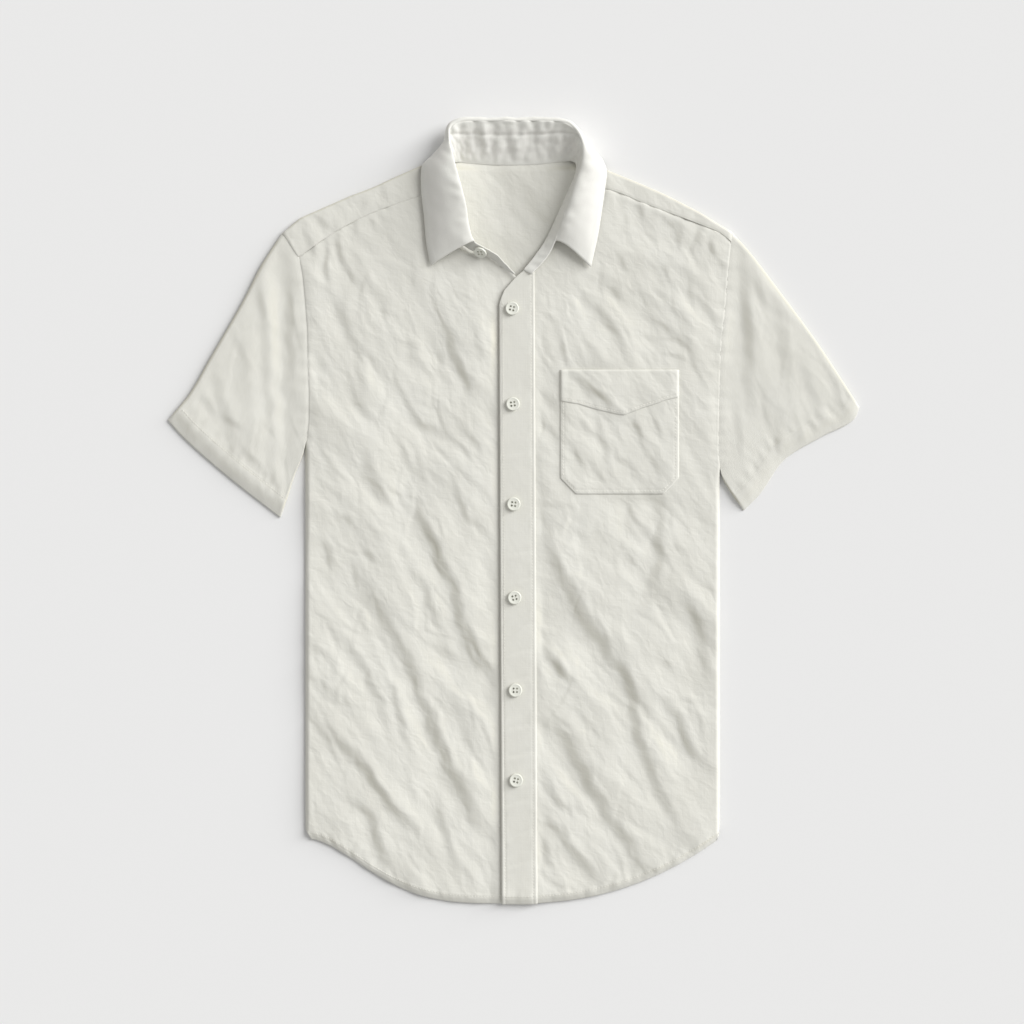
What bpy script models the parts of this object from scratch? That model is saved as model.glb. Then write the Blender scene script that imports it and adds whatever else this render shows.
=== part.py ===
"""A short-sleeved button-up shirt in crumpled cloth, laid flat and face up.

Frame: the shirt lies on z = 0 with its back panel down, +X is the wearer's left, +Y runs
towards the collar and +Z is up. The origin is in the middle of the laid outline.
Every size below is in millimetres. MM turns it into metres where a mesh is made.
Each sheet is a grid carried onto its place by a function of the sizes below and then
thickened, and every table has one row for each place or fold that its columns name.
"""

import math

import bmesh
import bpy
import numpy as np
from mathutils import Matrix, Vector

MM = 0.001

# ---- thicknesses and gaps -------------------------------------------------------------
CLOTH = 1.2            # wall of a single layer
COLLAR_CLOTH = 1.4     # wall of the interlined collar
SEAM = 0.7             # gap in plan between two sheets sewn edge to edge
LAYER = 1.6            # from the middle of one layer to the middle of the layer on it
COLLAR_JOIN = 0.4      # half the gap between the collar stand and the collar fall

# ---- heights of the middle of each sheet above the surface ------------------------------
BACK_Z = CLOTH / 2
FRONT_Z = 5.6
SLEEVE_Z = 5.0
EDGE_Z = BACK_Z + CLOTH + 0.3
LOWEST_FRONT_Z = 2.3
LOWEST_SLEEVE_Z = 2.7

# ---- body ---------------------------------------------------------------------------------
BODY_MIDDLE_X = -1.0
SIDE_X = {"right": -208.0, "left": 206.0}
HEM_CORNER = {"right": (-202.0, -328.0), "left": (204.5, -325.0)}
HEM_LOW_Y = -392.0
HEM_RISE = 65.0
HEM_POWER = 2.3        # how the hem climbs to the side on the wearer's left
SIDE_ROUND = 12.0      # how far in from the side seam the front reaches its height
HEM_ROUND = 9.0
UNDERARM_FADE = (4.0, -20.0)   # where the side's rounding starts, from the underarm's y
HEM_LIFT = 40.0        # over what height the layers of the hem part from one another
SIGN = {"right": -1, "left": 1}

# The armhole seam from the yoke's front seam down to the underarm: x, y.
ARMHOLE = {
    "right": [(-215.5, 254.5), (-211.5, 236.5), (-208.5, 206.5), (-206.5, 178.0),
              (-206.0, 150.0), (-204.8, 113.5), (-205.0, 92.0), (-206.5, 73.5)],
    "left": [(217.5, 270.5), (214.5, 236.5), (211.5, 201.5), (207.5, 161.5),
             (205.5, 101.5), (205.0, 65.0), (206.0, 42.5)],
}
SHOULDER_POINT = {"right": (-231.0, 279.0), "left": (218.0, 279.5)}
ARMHOLE_STEPS = 11     # from the yoke's front seam to the underarm
BACK_SEAM_KNOT = 3     # the armhole step where the yoke meets the back panel
BACK_SEAM_MIDDLE_Y = 230.0

# The shoulder fold, where the yoke turns from back to front: x, y.
SHOULDER_FOLD = [(-231.0, 279.0), (-213.5, 293.5), (-163.5, 315.5), (-139.5, 324.5),
                 (-118.5, 334.5), (-92.0, 346.0), (-62.0, 357.0), (62.0, 357.0),
                 (93.5, 341.5), (126.5, 328.0), (151.5, 317.0), (186.5, 299.0),
                 (218.0, 279.5)]
# The yoke's front seam on each side: x, y.
FRONT_SEAM = {
    "right": [(-215.5, 254.5), (-180.0, 279.0), (-143.5, 298.0), (-91.5, 316.5), (-76.0, 321.5)],
    "left": [(217.5, 270.5), (206.5, 279.0), (190.5, 286.0), (158.5, 298.0), (127.0, 310.0),
             (103.0, 320.0), (92.5, 323.0), (76.0, 326.0)],
}
FOLD_RADIUS = 2.5

# Where the yoke's columns stand on the shoulder fold, and how far each one wraps on to
# the front: x, wrap (1 reaches the front seam, 0 stops at the back neck seam).
YOKE_COLUMNS = [(-231.0, 1.0), (-205.0, 1.0), (-180.0, 1.0), (-155.0, 1.0), (-130.0, 1.0),
                (-108.0, 1.0), (-91.0, 1.0), (-78.0, 1.0), (-73.5, 0.55), (-69.0, 0.15),
                (-64.0, 0.0), (-42.0, 0.0), (-22.0, 0.0), (0.0, 0.0), (22.0, 0.0),
                (42.0, 0.0), (64.0, 0.0), (69.0, 0.15), (73.5, 0.55), (78.0, 1.0),
                (92.0, 1.0), (112.0, 1.0), (135.0, 1.0), (160.0, 1.0), (184.0, 1.0),
                (203.0, 1.0), (218.0, 1.0)]
BACK_NECK_Y = 349.5
BACK_NECK_RISE = 3.6   # how much higher the back neck seam stands at the corners
BACK_NECK_HALF = 58.0

# The neck edge of each front, from the yoke's front seam down to the V: x, y.
NECK_EDGE = {
    "right": [(-76.0, 321.5), (-74.0, 305.0), (-68.0, 283.0), (-57.0, 264.5),
              (-42.0, 257.5), (-28.0, 259.5)],
    "left": [(76.0, 326.0), (63.0, 325.0), (53.0, 314.0), (44.5, 293.0), (35.0, 271.5),
             (24.0, 257.0)],
}

# ---- front opening ------------------------------------------------------------------------
PLACKET_X = (-14.5, 20.5)
PLACKET_SLANT = 3.0    # how far the placket drifts to +X between the neck and the hem
LAP = 2.0              # how far the placket's edge stands out past the panel under it
LAP_RAMP = (40.0, 18.0)        # where the wearer's left front climbs on to the right one
UNDERLAP_X = 6.0       # how far the wearer's right front reaches under the placket
UNDERLAP_RAMP = (-28.0, -18.0)
# The top edge of the placket, round its corner and up the V: x, y.
PLACKET_TOP = [(-14.5, 207.0), (-12.5, 213.5), (-9.5, 221.0), (-3.0, 228.5), (2.5, 234.5),
               (11.5, 242.0), (14.5, 245.5), (20.5, 250.5)]
# The free neck rim of the wearer's right front, down to where the placket covers it: x, y.
RIM = [(-28.0, 259.5), (-20.5, 256.5), (-13.5, 251.0), (-8.5, 244.5), (2.5, 234.5),
       (6.0, 231.0)]

BUTTON_DIAMETER = 13.4
BUTTON_THICKNESS = 2.4
BUTTON_GAP = 0.4       # the thread's length under a button
BUTTON_X = (-1.5, 2.5)         # the first and the last button down the placket
BUTTON_Y = [203.0, 107.5, 7.5, -86.0, -178.5, -268.5]
BUTTON_SIDES = 14
HOLE_RADIUS = 0.75
HOLE_SPREAD = 1.45
STAND_BUTTON = (-32.5, 260.5)

# ---- chest pocket ---------------------------------------------------------------------------
POCKET_X = (46.7, 165.0)
POCKET_TOP_Y = 141.5
POCKET_BOTTOM_Y = 17.5
POCKET_CHAMFER_X = 15.5
POCKET_CHAMFER_Y = 16.0
# The lower edge of the pocket's turned-down band: x, y.
POCKET_BAND = [(46.7, 110.5), (65.5, 107.5), (81.5, 102.5), (103.0, 97.5), (110.5, 96.5),
               (128.5, 103.5), (141.5, 107.5), (152.0, 111.5), (165.0, 114.5)]

# ---- sleeves, laid flat: top edge, underarm edge and cuff as x, y --------------------------
SLEEVE_TOP = {
    "right": [(-231.5, 278.5), (-253.5, 244.5), (-267.5, 216.5), (-303.5, 153.5),
              (-324.0, 118.0), (-346.0, 91.5)],
    "left": [(218.5, 279.0), (234.5, 261.5), (264.5, 222.5), (304.5, 168.0), (346.0, 104.5)],
}
SLEEVE_UNDER = {
    "right": [(-209.4, 72.5), (-212.6, 54.5), (-219.5, 36.5), (-226.5, 14.5), (-233.5, -5.5)],
    "left": [(208.6, 41.0), (209.5, 34.5), (216.0, 22.0), (223.0, 11.5), (230.5, 1.5)],
}
CUFF = {
    "right": [(-346.0, 91.5), (-331.5, 75.5), (-288.5, 37.5), (-233.5, -5.5)],
    "left": [(346.0, 104.5), (341.5, 93.5), (308.0, 75.0), (271.5, 52.5), (245.5, 16.5),
             (230.5, 1.5)],
}
SLEEVE_STATIONS = 8
SLEEVE_FADE = 0.15     # the share of the sleeve's length in which its folds start
SLEEVE_EDGE = 5.0      # how far in from a folded edge the sleeve reaches its height

# ---- collar ---------------------------------------------------------------------------------
# A row for each station round the neck, from the wearer's right front round the back to
# the left front. Columns: neck seam, roll line, pull (what the fall bends towards) and
# outer edge, each x, y, z. The rows at both ends are the stand's own, past the fall.
COLLAR = [
    ((-7.5, 240.0, 6.8), (-4.5, 243.5, 11.0), None, None),
    ((-15.5, 246.5, 6.8), (-12.0, 251.5, 14.0), None, None),
    ((-25.5, 252.5, 7.0), (-21.0, 259.0, 17.0), None, None),
    ((-45.5, 262.0, 7.6), (-39.5, 269.0, 19.0), (-57.5, 262.5, 22.5), (-82.5, 246.5, 9.6)),
    ((-61.0, 276.5, 7.6), (-45.5, 284.0, 22.0), (-69.5, 280.0, 27.5), (-86.8, 268.0, 9.6)),
    ((-68.5, 296.0, 7.6), (-48.0, 302.0, 25.0), (-72.0, 302.0, 28.5), (-89.0, 294.0, 9.6)),
    ((-71.5, 316.0, 7.6), (-52.5, 321.0, 26.5), (-77.0, 322.0, 29.5), (-91.8, 320.0, 9.8)),
    ((-71.5, 332.0, 7.6), (-57.5, 340.0, 26.5), (-82.0, 342.0, 29.0), (-91.2, 344.0, 10.0)),
    ((-67.5, 343.0, 7.4), (-61.5, 357.0, 26.0), (-80.0, 358.0, 22.0), (-84.5, 352.5, 4.2)),
    ((-62.0, 349.0, 6.2), (-64.0, 369.5, 24.5), (-72.0, 371.5, 13.0), (-72.0, 358.0, 1.0)),
    ((-55.0, 350.0, 3.4), (-62.5, 382.0, 21.5), (-67.5, 391.0, 3.0), (-61.0, 358.8, 0.8)),
    ((-44.0, 348.6, 2.6), (-50.0, 388.0, 19.0), (-52.0, 397.5, 1.0), (-48.0, 357.5, 0.8)),
    ((-23.0, 347.2, 2.4), (-25.0, 389.0, 18.0), (-25.0, 398.5, 0.8), (-24.0, 356.5, 0.8)),
    ((0.0, 346.8, 2.4), (0.0, 389.0, 18.0), (0.0, 398.5, 0.8), (0.0, 356.0, 0.8)),
    ((24.0, 347.8, 2.4), (26.0, 389.0, 18.0), (26.0, 398.5, 0.8), (25.0, 356.5, 0.8)),
    ((43.0, 350.0, 2.6), (48.0, 387.5, 20.0), (51.0, 397.0, 1.0), (48.0, 357.5, 0.8)),
    ((53.5, 351.0, 3.4), (60.0, 381.0, 22.5), (66.0, 390.0, 3.0), (62.0, 358.8, 0.8)),
    ((59.5, 350.5, 6.2), (66.5, 369.5, 25.5), (74.0, 372.5, 15.0), (74.0, 358.0, 1.0)),
    ((63.0, 346.0, 7.4), (68.5, 358.5, 27.0), (82.5, 360.5, 24.5), (87.0, 352.5, 4.4)),
    ((61.0, 335.0, 7.6), (67.0, 344.0, 27.0), (86.0, 346.0, 29.0), (92.6, 340.0, 9.8)),
    ((55.5, 322.0, 7.6), (61.0, 326.0, 26.0), (82.0, 328.0, 28.5), (91.0, 322.5, 9.6)),
    ((47.5, 304.0, 7.6), (55.5, 307.0, 24.0), (75.0, 309.0, 27.0), (88.0, 301.5, 9.6)),
    ((40.0, 287.0, 7.6), (48.5, 288.5, 20.5), (67.5, 288.0, 24.0), (84.0, 276.0, 9.6)),
    ((31.5, 270.0, 7.8), (42.0, 270.5, 14.5), (57.0, 264.5, 18.0), (77.0, 244.8, 9.6)),
    ((22.5, 257.0, 8.3), (34.5, 257.0, 11.5), None, None),
    ((15.0, 246.5, 9.0), (25.5, 241.5, 9.8), None, None),
]
FALL_REACH = (3, len(COLLAR) - 3)      # the first and the last row that the fall reaches
ROLL_RISE = 6.0        # how far the fall carries on in the stand's direction before it turns
FALL_SPACING = 1.25    # how much closer the fall's rows are at the roll: a power
COLLAR_COLUMNS = 36
STAND_ROWS = 2
FALL_ROWS = 6

# ---- the largest folds --------------------------------------------------------------------
RIDGE_WIDTH = 1.7      # how much wider a fold's ridge is than its trough
FOLD_END = 0.06        # how far along its arch a fold starts and stops
# Where no fold runs, because a layer lies on the front there.
CALM_PLACKET = (26.0, 46.0)
CALM_POCKET = (3.0, 22.0)
CALM_NECK = (1.0, 1.3)
NECK_HALF = (100.0, 72.0)
NECK_MIDDLE_Y = 300.0
# Each fold is a crease with a trough on its low side and a softer ridge on its high side.
# Columns: start x, y; middle x, y; end x, y; half width; height.
FRONT_FOLDS = [
    (-151.5, -75.5, -101.5, -160.5, -27.5, -317.5, 11.0, 2.6),
    (-95.5, 4.5, -60.5, -73.5, -24.5, -162.5, 10.0, 2.2),
    (-114.5, -34.5, -90.5, -73.5, -72.5, -117.5, 9.0, 1.6),
    (-177.5, -121.5, -147.5, -164.5, -126.5, -216.5, 10.0, 1.9),
    (-133.5, -156.5, -111.5, -209.5, -104.5, -242.5, 9.0, 1.6),
    (-175.5, -225.5, -133.5, -278.5, -97.5, -314.5, 9.0, 2.2),
    (-161.5, -289.5, -140.5, -323.5, -122.5, -356.5, 9.0, 1.6),
    (-74.5, -289.5, -64.5, -335.5, -48.5, -363.5, 9.0, 1.6),
    (29.5, -0.5, 72.5, -106.5, 110.5, -166.5, 10.0, 2.4),
    (28.5, -133.5, 49.5, -162.5, 61.5, -174.5, 9.0, 1.5),
    (145.5, 15.5, 146.5, -35.5, 136.5, -82.5, 11.0, 1.8),
    (177.5, -95.5, 183.5, -115.5, 191.5, -155.5, 9.0, 1.6),
    (27.5, -209.5, 73.5, -270.5, 131.5, -358.5, 11.0, 2.6),
    (110.5, -148.5, 134.5, -253.5, 167.5, -322.5, 11.0, 2.4),
    (149.5, -187.5, 174.5, -232.5, 191.5, -255.5, 9.0, 1.6),
    (27.5, -288.5, 54.5, -329.5, 83.5, -365.5, 9.0, 1.6),
    (-171.5, 212.5, -163.0, 170.0, -150.5, 123.5, 10.0, 1.7),
    (-67.5, 180.5, -53.5, 146.5, -41.5, 121.5, 10.0, 1.6),
    (-109.5, 114.5, -93.5, 88.5, -74.5, 79.5, 10.0, 1.6),
    (-154.5, 63.5, -141.5, 40.5, -130.5, 3.5, 10.0, 1.7),
    (-60.5, 27.5, -46.5, -6.5, -32.5, -22.5, 9.0, 1.5),
    (82.5, 211.5, 99.5, 180.5, 115.5, 152.0, 10.0, 1.6),
    (151.5, 213.5, 167.5, 190.5, 177.5, 164.5, 10.0, 1.5),
]
SLEEVE_FOLDS = {
    "right": [
        (-243.0, 248.0, -236.0, 150.0, -230.0, 30.0, 9.0, -1.7),
        (-262.0, 200.0, -258.0, 140.0, -250.0, 60.0, 11.0, -1.3),
        (-300.0, 140.0, -288.0, 110.0, -282.0, 70.0, 11.0, 1.1),
    ],
    "left": [
        (229.0, 258.0, 233.0, 190.0, 236.0, 110.0, 9.0, 1.7),
        (264.5, 205.0, 270.0, 165.0, 276.5, 126.0, 11.0, 1.4),
        (288.0, 150.0, 300.0, 120.0, 306.0, 95.0, 10.0, 1.2),
    ],
}

CLOTH_COLOUR = (0.76, 0.75, 0.69, 1.0)
COLLAR_COLOUR = (0.78, 0.77, 0.72, 1.0)
BUTTON_COLOUR = (0.72, 0.72, 0.64, 1.0)


# ---- curves and small functions -----------------------------------------------------------
FINE_STEPS = 40        # for each point of a table, when its curve is measured


def smooth(low, high, value):
    """0 up to low, 1 from high, and a soft step between."""
    t = np.clip((np.asarray(value, float) - low) / (high - low), 0.0, 1.0)
    return t * t * (3.0 - 2.0 * t)


def gentle_slopes(knots, values):
    """Slopes at the knots that never carry the curve past its values."""
    widths = np.diff(knots).reshape((-1,) + (1,) * (values.ndim - 1))
    rates = np.diff(values, axis=0) / widths
    before, after = rates[:-1], rates[1:]
    same = before * after > 0
    safe_before = np.where(same, before, 1.0)
    safe_after = np.where(same, after, 1.0)
    mean = 2.0 / (1.0 / safe_before + 1.0 / safe_after)
    return np.concatenate([rates[:1], np.where(same, mean, 0.0), rates[-1:]])


def spline(knots, values, at):
    """The smooth curve through values, given at knots, read at the places `at`."""
    knots = np.asarray(knots, float)
    values = np.asarray(values, float)
    at = np.asarray(at, float)
    slopes = gentle_slopes(knots, values)
    index = np.clip(np.searchsorted(knots, at, side="right") - 1, 0, len(knots) - 2)
    step = knots[index + 1] - knots[index]
    t = (at - knots[index]) / step
    if values.ndim > 1:
        t = t[..., None]
        step = step[..., None]
    return ((1 + 2 * t) * (1 - t) ** 2 * values[index]
            + t * (1 - t) ** 2 * step * slopes[index]
            + t * t * (3 - 2 * t) * values[index + 1]
            - t * t * (1 - t) * step * slopes[index + 1])


def along(points, fractions):
    """Points at fractions of the length of the smooth curve through a table's points."""
    points = np.asarray(points, float)
    chords = np.linalg.norm(np.diff(points, axis=0), axis=1)
    knots = np.concatenate([[0.0], np.cumsum(chords)])
    fine = spline(knots, points, np.linspace(0.0, knots[-1], FINE_STEPS * len(points)))
    steps = np.linalg.norm(np.diff(fine, axis=0), axis=1)
    length = np.concatenate([[0.0], np.cumsum(steps)])
    where = np.asarray(fractions, float) * length[-1]
    return np.stack([np.interp(where, length, fine[:, k]) for k in range(fine.shape[1])], axis=-1)


def table_y(table, x):
    """The y of a table of x, y points at x."""
    table = np.asarray(table, float)
    order = np.argsort(table[:, 0])
    return np.interp(x, table[order, 0], table[order, 1])


def hem_y(x):
    """The hem's y at x: a shallow curve, with a small S towards the wearer's right side."""
    t = np.abs(np.asarray(x, float) - BODY_MIDDLE_X) / (SIDE_X["left"] - BODY_MIDDLE_X)
    s_curve = t ** 4 * (5.0 - 4.0 * t)
    rise = np.where(np.asarray(x) < BODY_MIDDLE_X, s_curve, t ** HEM_POWER)
    return HEM_LOW_Y + HEM_RISE * rise


def back_neck_y(x):
    """The back neck seam's y at x."""
    return BACK_NECK_Y + BACK_NECK_RISE * (np.asarray(x, float) / BACK_NECK_HALF) ** 2


def armhole(side):
    """The armhole's points in plan: the shoulder point, then the steps to the underarm."""
    lower = along(ARMHOLE[side], np.linspace(0.0, 1.0, ARMHOLE_STEPS + 1))
    return np.vstack([[SHOULDER_POINT[side]], lower])


def fold_height(folds, x, y):
    """How far the folds lift or sink a sheet at x, y."""
    x = np.asarray(x, float)
    y = np.asarray(y, float)
    total = np.zeros_like(x)
    for x0, y0, x1, y1, x2, y2, half_width, height in folds:
        line = along([(x0, y0), (x1, y1), (x2, y2)], np.linspace(0.0, 1.0, 9))
        nearest = np.full(x.shape, np.inf)
        side = np.zeros_like(x)
        place = np.zeros_like(x)
        for k in range(len(line) - 1):
            a, b = line[k], line[k + 1]
            run = b - a
            length = np.hypot(*run)
            t = ((x - a[0]) * run[0] + (y - a[1]) * run[1]) / length ** 2
            t = np.clip(t, 0.0, 1.0)
            off_x = x - (a[0] + t * run[0])
            off_y = y - (a[1] + t * run[1])
            away = np.hypot(off_x, off_y)
            cross = (run[0] * off_y - run[1] * off_x) / length
            closer = away < nearest
            nearest = np.where(closer, away, nearest)
            side = np.where(closer, np.sign(cross), side)
            place = np.where(closer, (k + t) / (len(line) - 1), place)
        signed = nearest * side
        width = np.where(signed > 0, RIDGE_WIDTH * half_width, half_width)
        ends = np.sin(np.pi * (FOLD_END + (1.0 - 2.0 * FOLD_END) * place))
        total += height * ends * (signed / width) * np.exp(0.5 - 0.5 * (signed / width) ** 2) * (
            np.exp(-((nearest - np.abs(signed)) / half_width) ** 2))
    return total


def calm(x, y):
    """1 where the front creases freely, 0 where a layer lies on it."""
    placket = smooth(*CALM_PLACKET, np.abs(x - 0.5 * sum(PLACKET_X)))
    neck = smooth(*CALM_NECK, np.hypot(x / NECK_HALF[0], (y - NECK_MIDDLE_Y) / NECK_HALF[1]))
    pocket_x = np.maximum(POCKET_X[0] - x, x - POCKET_X[1])
    pocket_y = np.maximum(POCKET_BOTTOM_Y - y, y - POCKET_TOP_Y)
    pocket = smooth(*CALM_POCKET, np.maximum(pocket_x, pocket_y))
    return placket * neck * pocket


def front_z(x, y):
    """The height of the middle of a front's sheet at x, y."""
    x = np.asarray(x, float)
    y = np.asarray(y, float)
    height = FRONT_Z + fold_height(FRONT_FOLDS, x, y) * calm(x, y)
    height = np.maximum(height, LOWEST_FRONT_Z)
    sides = np.minimum(x - SIDE_X["right"], SIDE_X["left"] - x)
    armhole_end = np.where(x < 0, ARMHOLE["right"][-1][1], ARMHOLE["left"][-1][1])
    below_arm = smooth(armhole_end + UNDERARM_FADE[0], armhole_end + UNDERARM_FADE[1], y)
    side = 1.0 - below_arm * (1.0 - np.sqrt(1.0 - (1.0 - np.clip(sides / SIDE_ROUND, 0, 1)) ** 2))
    hem = np.sqrt(1.0 - (1.0 - np.clip((y - hem_y(x)) / HEM_ROUND, 0, 1)) ** 2)
    return EDGE_Z + (height - EDGE_Z) * np.minimum(side, hem)


def lift(plan, z):
    """Points in plan with their heights added."""
    return np.dstack([plan, z])


def coons(bottom, top, left, right):
    """A grid of plan points that fills four edges; bottom and top run from left to right."""
    u = np.linspace(0.0, 1.0, len(bottom))[:, None, None]
    v = np.linspace(0.0, 1.0, len(left))[None, :, None]
    corners = ((1 - u) * (1 - v) * bottom[0] + u * (1 - v) * bottom[-1]
               + (1 - u) * v * top[0] + u * v * top[-1])
    return ((1 - v) * bottom[:, None] + v * top[:, None]
            + (1 - u) * left[None] + u * right[None] - corners)


# ---- making objects --------------------------------------------------------------------
def material(name, colour, roughness):
    """A Principled material of one colour."""
    made = bpy.data.materials.new(name)
    made.use_nodes = True
    shader = made.node_tree.nodes["Principled BSDF"]
    shader.inputs["Base Color"].default_value = colour
    shader.inputs["Roughness"].default_value = roughness
    shader.inputs["Metallic"].default_value = 0.0
    return made


def add_object(name, mesh, collection, colour, roughness=0.9):
    """A named object with its own material, in the shirt's collection."""
    made = bpy.data.objects.new(name, mesh)
    collection.objects.link(made)
    made.data.materials.append(material(name + "_finish", colour, roughness))
    return made


def grid_mesh(name, points, ring=False):
    """A grid mesh carried on to points[column, row]; a ring's first and last columns meet."""
    columns, rows = points.shape[:2]
    shape = bmesh.new()
    bmesh.ops.create_grid(shape, x_segments=columns - 1, y_segments=rows - 1, size=1.0)
    for vertex in shape.verts:
        column = round((vertex.co.x + 1.0) / 2.0 * (columns - 1))
        row = round((vertex.co.y + 1.0) / 2.0 * (rows - 1))
        vertex.co = Vector(points[column, row]) * MM
    if ring:
        bmesh.ops.remove_doubles(shape, verts=shape.verts, dist=0.01 * MM)
    mesh = bpy.data.meshes.new(name)
    shape.to_mesh(mesh)
    shape.free()
    mesh.shade_smooth()
    return mesh


def add_sheet(name, points, collection, colour=CLOTH_COLOUR, thickness=CLOTH, ring=False):
    """A sheet of cloth: the grid of its middle, thickened evenly to both sides."""
    sheet = add_object(name, grid_mesh(name, points, ring), collection, colour)
    wall = sheet.modifiers.new("wall", "SOLIDIFY")
    wall.thickness = thickness * MM
    wall.offset = 0.0
    wall.use_even_offset = True
    wall.use_quality_normals = True
    return sheet


# ---- body ---------------------------------------------------------------------------------
BODY_COLUMNS = 10
SEAM_SHARE = 0.62      # the share of a front's top columns that end at the yoke's seam
SIDE_STEPS = 19
BODY_ROWS = SIDE_STEPS + ARMHOLE_STEPS + 1


def side_line(side):
    """The side seam from the hem's corner up to the underarm, then the armhole's steps."""
    corner = HEM_CORNER[side]
    underarm = ARMHOLE[side][-1]
    seam = [corner, (SIDE_X[side], corner[1] + 12.0), (SIDE_X[side], underarm[1] - 8.0), underarm]
    lower = along(seam, np.linspace(0.0, 1.0, SIDE_STEPS + 1))
    return np.vstack([lower, armhole(side)[1:-1][::-1]])


def front_top(side, columns):
    """The top edge of a front, from the armhole along the yoke's seam and down the neck."""
    on_seam = round(columns * SEAM_SHARE)
    seam = along(FRONT_SEAM[side], np.linspace(0.0, 1.0, on_seam + 1)) - (0.0, SEAM)
    neck = along(NECK_EDGE[side], np.linspace(0.0, 1.0, columns - on_seam + 1))
    neck[0] -= (0.0, SEAM)
    return np.vstack([seam, neck[1:]])


def slant(y):
    """How far the placket has drifted to +X at y."""
    return PLACKET_SLANT * np.clip((PLACKET_TOP[-1][1] - y) / (PLACKET_TOP[-1][1] - HEM_LOW_Y), 0, 1)


def strip_columns(xs, tops, rows):
    """Upright columns of plan points from the hem to their tops, drifting with the placket."""
    v = np.linspace(0.0, 1.0, rows)
    columns = []
    for x, top in zip(xs, tops):
        y = hem_y(x) + v * (top - hem_y(x))
        columns.append(np.stack([x + slant(y), y], axis=-1))
    return np.stack(columns)


def front_plan(side, strip_xs, strip_tops):
    """A front's plan: a panel from the side to its strip, and the strip beside the opening."""
    left = side_line(side)
    rows = len(left)
    strip = strip_columns(strip_xs, strip_tops, rows)
    top = front_top(side, BODY_COLUMNS)
    top[-1] = strip[0, -1]
    bottom_x = np.linspace(left[0, 0], strip[0, 0, 0], BODY_COLUMNS + 1)
    bottom = np.stack([bottom_x, hem_y(bottom_x)], axis=-1)
    bottom[0] = left[0]
    left[-1] = top[0]
    panel = coons(bottom, top, left, strip[0])
    return np.concatenate([panel, strip[1:]])


def add_front_right(collection):
    """The wearer's right front, which dips under the placket."""
    xs = [UNDERLAP_RAMP[0], UNDERLAP_RAMP[1], -6.0, UNDERLAP_X]
    plan = front_plan("right", xs, [table_y(RIM, x) for x in xs])
    under = smooth(UNDERLAP_RAMP[0], UNDERLAP_RAMP[1], plan[..., 0] - slant(plan[..., 1]))
    z = front_z(plan[..., 0], plan[..., 1]) - LAYER * under * (
        smooth(0.0, HEM_LIFT, plan[..., 1] - hem_y(plan[..., 0])))
    z = np.maximum(z, EDGE_Z)
    return add_sheet("front_right", lift(plan, z), collection)


def add_front_left(collection):
    """The wearer's left front, on top at the opening."""
    placket_left, placket_right = PLACKET_X
    xs = [placket_right + 5.0, placket_right, 12.0, 2.0, placket_left + LAP]
    tops = [table_y(NECK_EDGE["left"], xs[0])] + [table_y(PLACKET_TOP, x) - LAP for x in xs[1:]]
    plan = front_plan("left", xs, tops)
    z = front_z(plan[..., 0], plan[..., 1])
    over = smooth(*LAP_RAMP, plan[..., 0]) * (
        1.0 - smooth(0.0, HEM_LIFT, plan[..., 1] - hem_y(plan[..., 0])))
    z += LAYER * over
    return add_sheet("front_left", lift(plan, z)[::-1], collection)


def placket_z(x, y):
    """The height of the middle of the placket's sheet."""
    over = 1.0 - smooth(0.0, HEM_LIFT, y - hem_y(x))
    return front_z(x, y) + LAYER * (1.0 + over)


def add_placket(collection):
    """The placket: a straight band on the wearer's left front, from the V to the hem."""
    xs = [PLACKET_X[0], -9.5, -3.0, 4.0, 12.0, PLACKET_X[1]]
    plan = strip_columns(xs, [table_y(PLACKET_TOP, x) for x in xs], BODY_ROWS)
    plan[:, 0, 1] -= 0.6
    z = placket_z(plan[..., 0], np.maximum(plan[..., 1], hem_y(plan[..., 0])))
    return add_sheet("placket", lift(plan, z), collection)


def back_seam_y(x):
    """Where the yoke meets the back panel."""
    right = armhole("right")[BACK_SEAM_KNOT]
    left = armhole("left")[BACK_SEAM_KNOT]
    middle = (BODY_MIDDLE_X, BACK_SEAM_MIDDLE_Y)
    return spline([right[0], middle[0], left[0]], [right[1], middle[1], left[1]], x)


def add_back(collection):
    """The back panel, flat on the surface from the hem to the yoke."""
    sides = {}
    for side in SIGN:
        lower = side_line(side)
        sides[side] = lower[:SIDE_STEPS + ARMHOLE_STEPS + 2 - BACK_SEAM_KNOT]
    step = BODY_COLUMNS + 6
    x = np.linspace(sides["right"][-1, 0], sides["left"][-1, 0], step + 1)
    top = np.stack([x, back_seam_y(x)], axis=-1)
    x = np.linspace(sides["right"][0, 0], sides["left"][0, 0], step + 1)
    bottom = np.stack([x, hem_y(x)], axis=-1)
    bottom[0], bottom[-1] = sides["right"][0], sides["left"][0]
    top[0], top[-1] = sides["right"][-1], sides["left"][-1]
    plan = coons(bottom, top, sides["right"], sides["left"])
    plan[:, -1, 1] -= SEAM
    keep = sorted(set(range(0, SIDE_STEPS, 3)) | set(range(SIDE_STEPS, plan.shape[1])))
    plan = plan[:, keep]
    return add_sheet("back", lift(plan, np.full(plan.shape[:2], BACK_Z)), collection)


# ---- yoke ---------------------------------------------------------------------------------
SHIFT_REACH = 0.9      # how far out, as a share, the front edge starts to follow the armhole
BULGE_REACH = 0.6      # how far out the columns start to follow the armhole's curve


def front_seam_y(x):
    """The yoke's front seam at x, on either side."""
    seam = along(FRONT_SEAM["right" if x < 0 else "left"], np.linspace(0.0, 1.0, 60))
    return table_y(seam, x)


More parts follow.
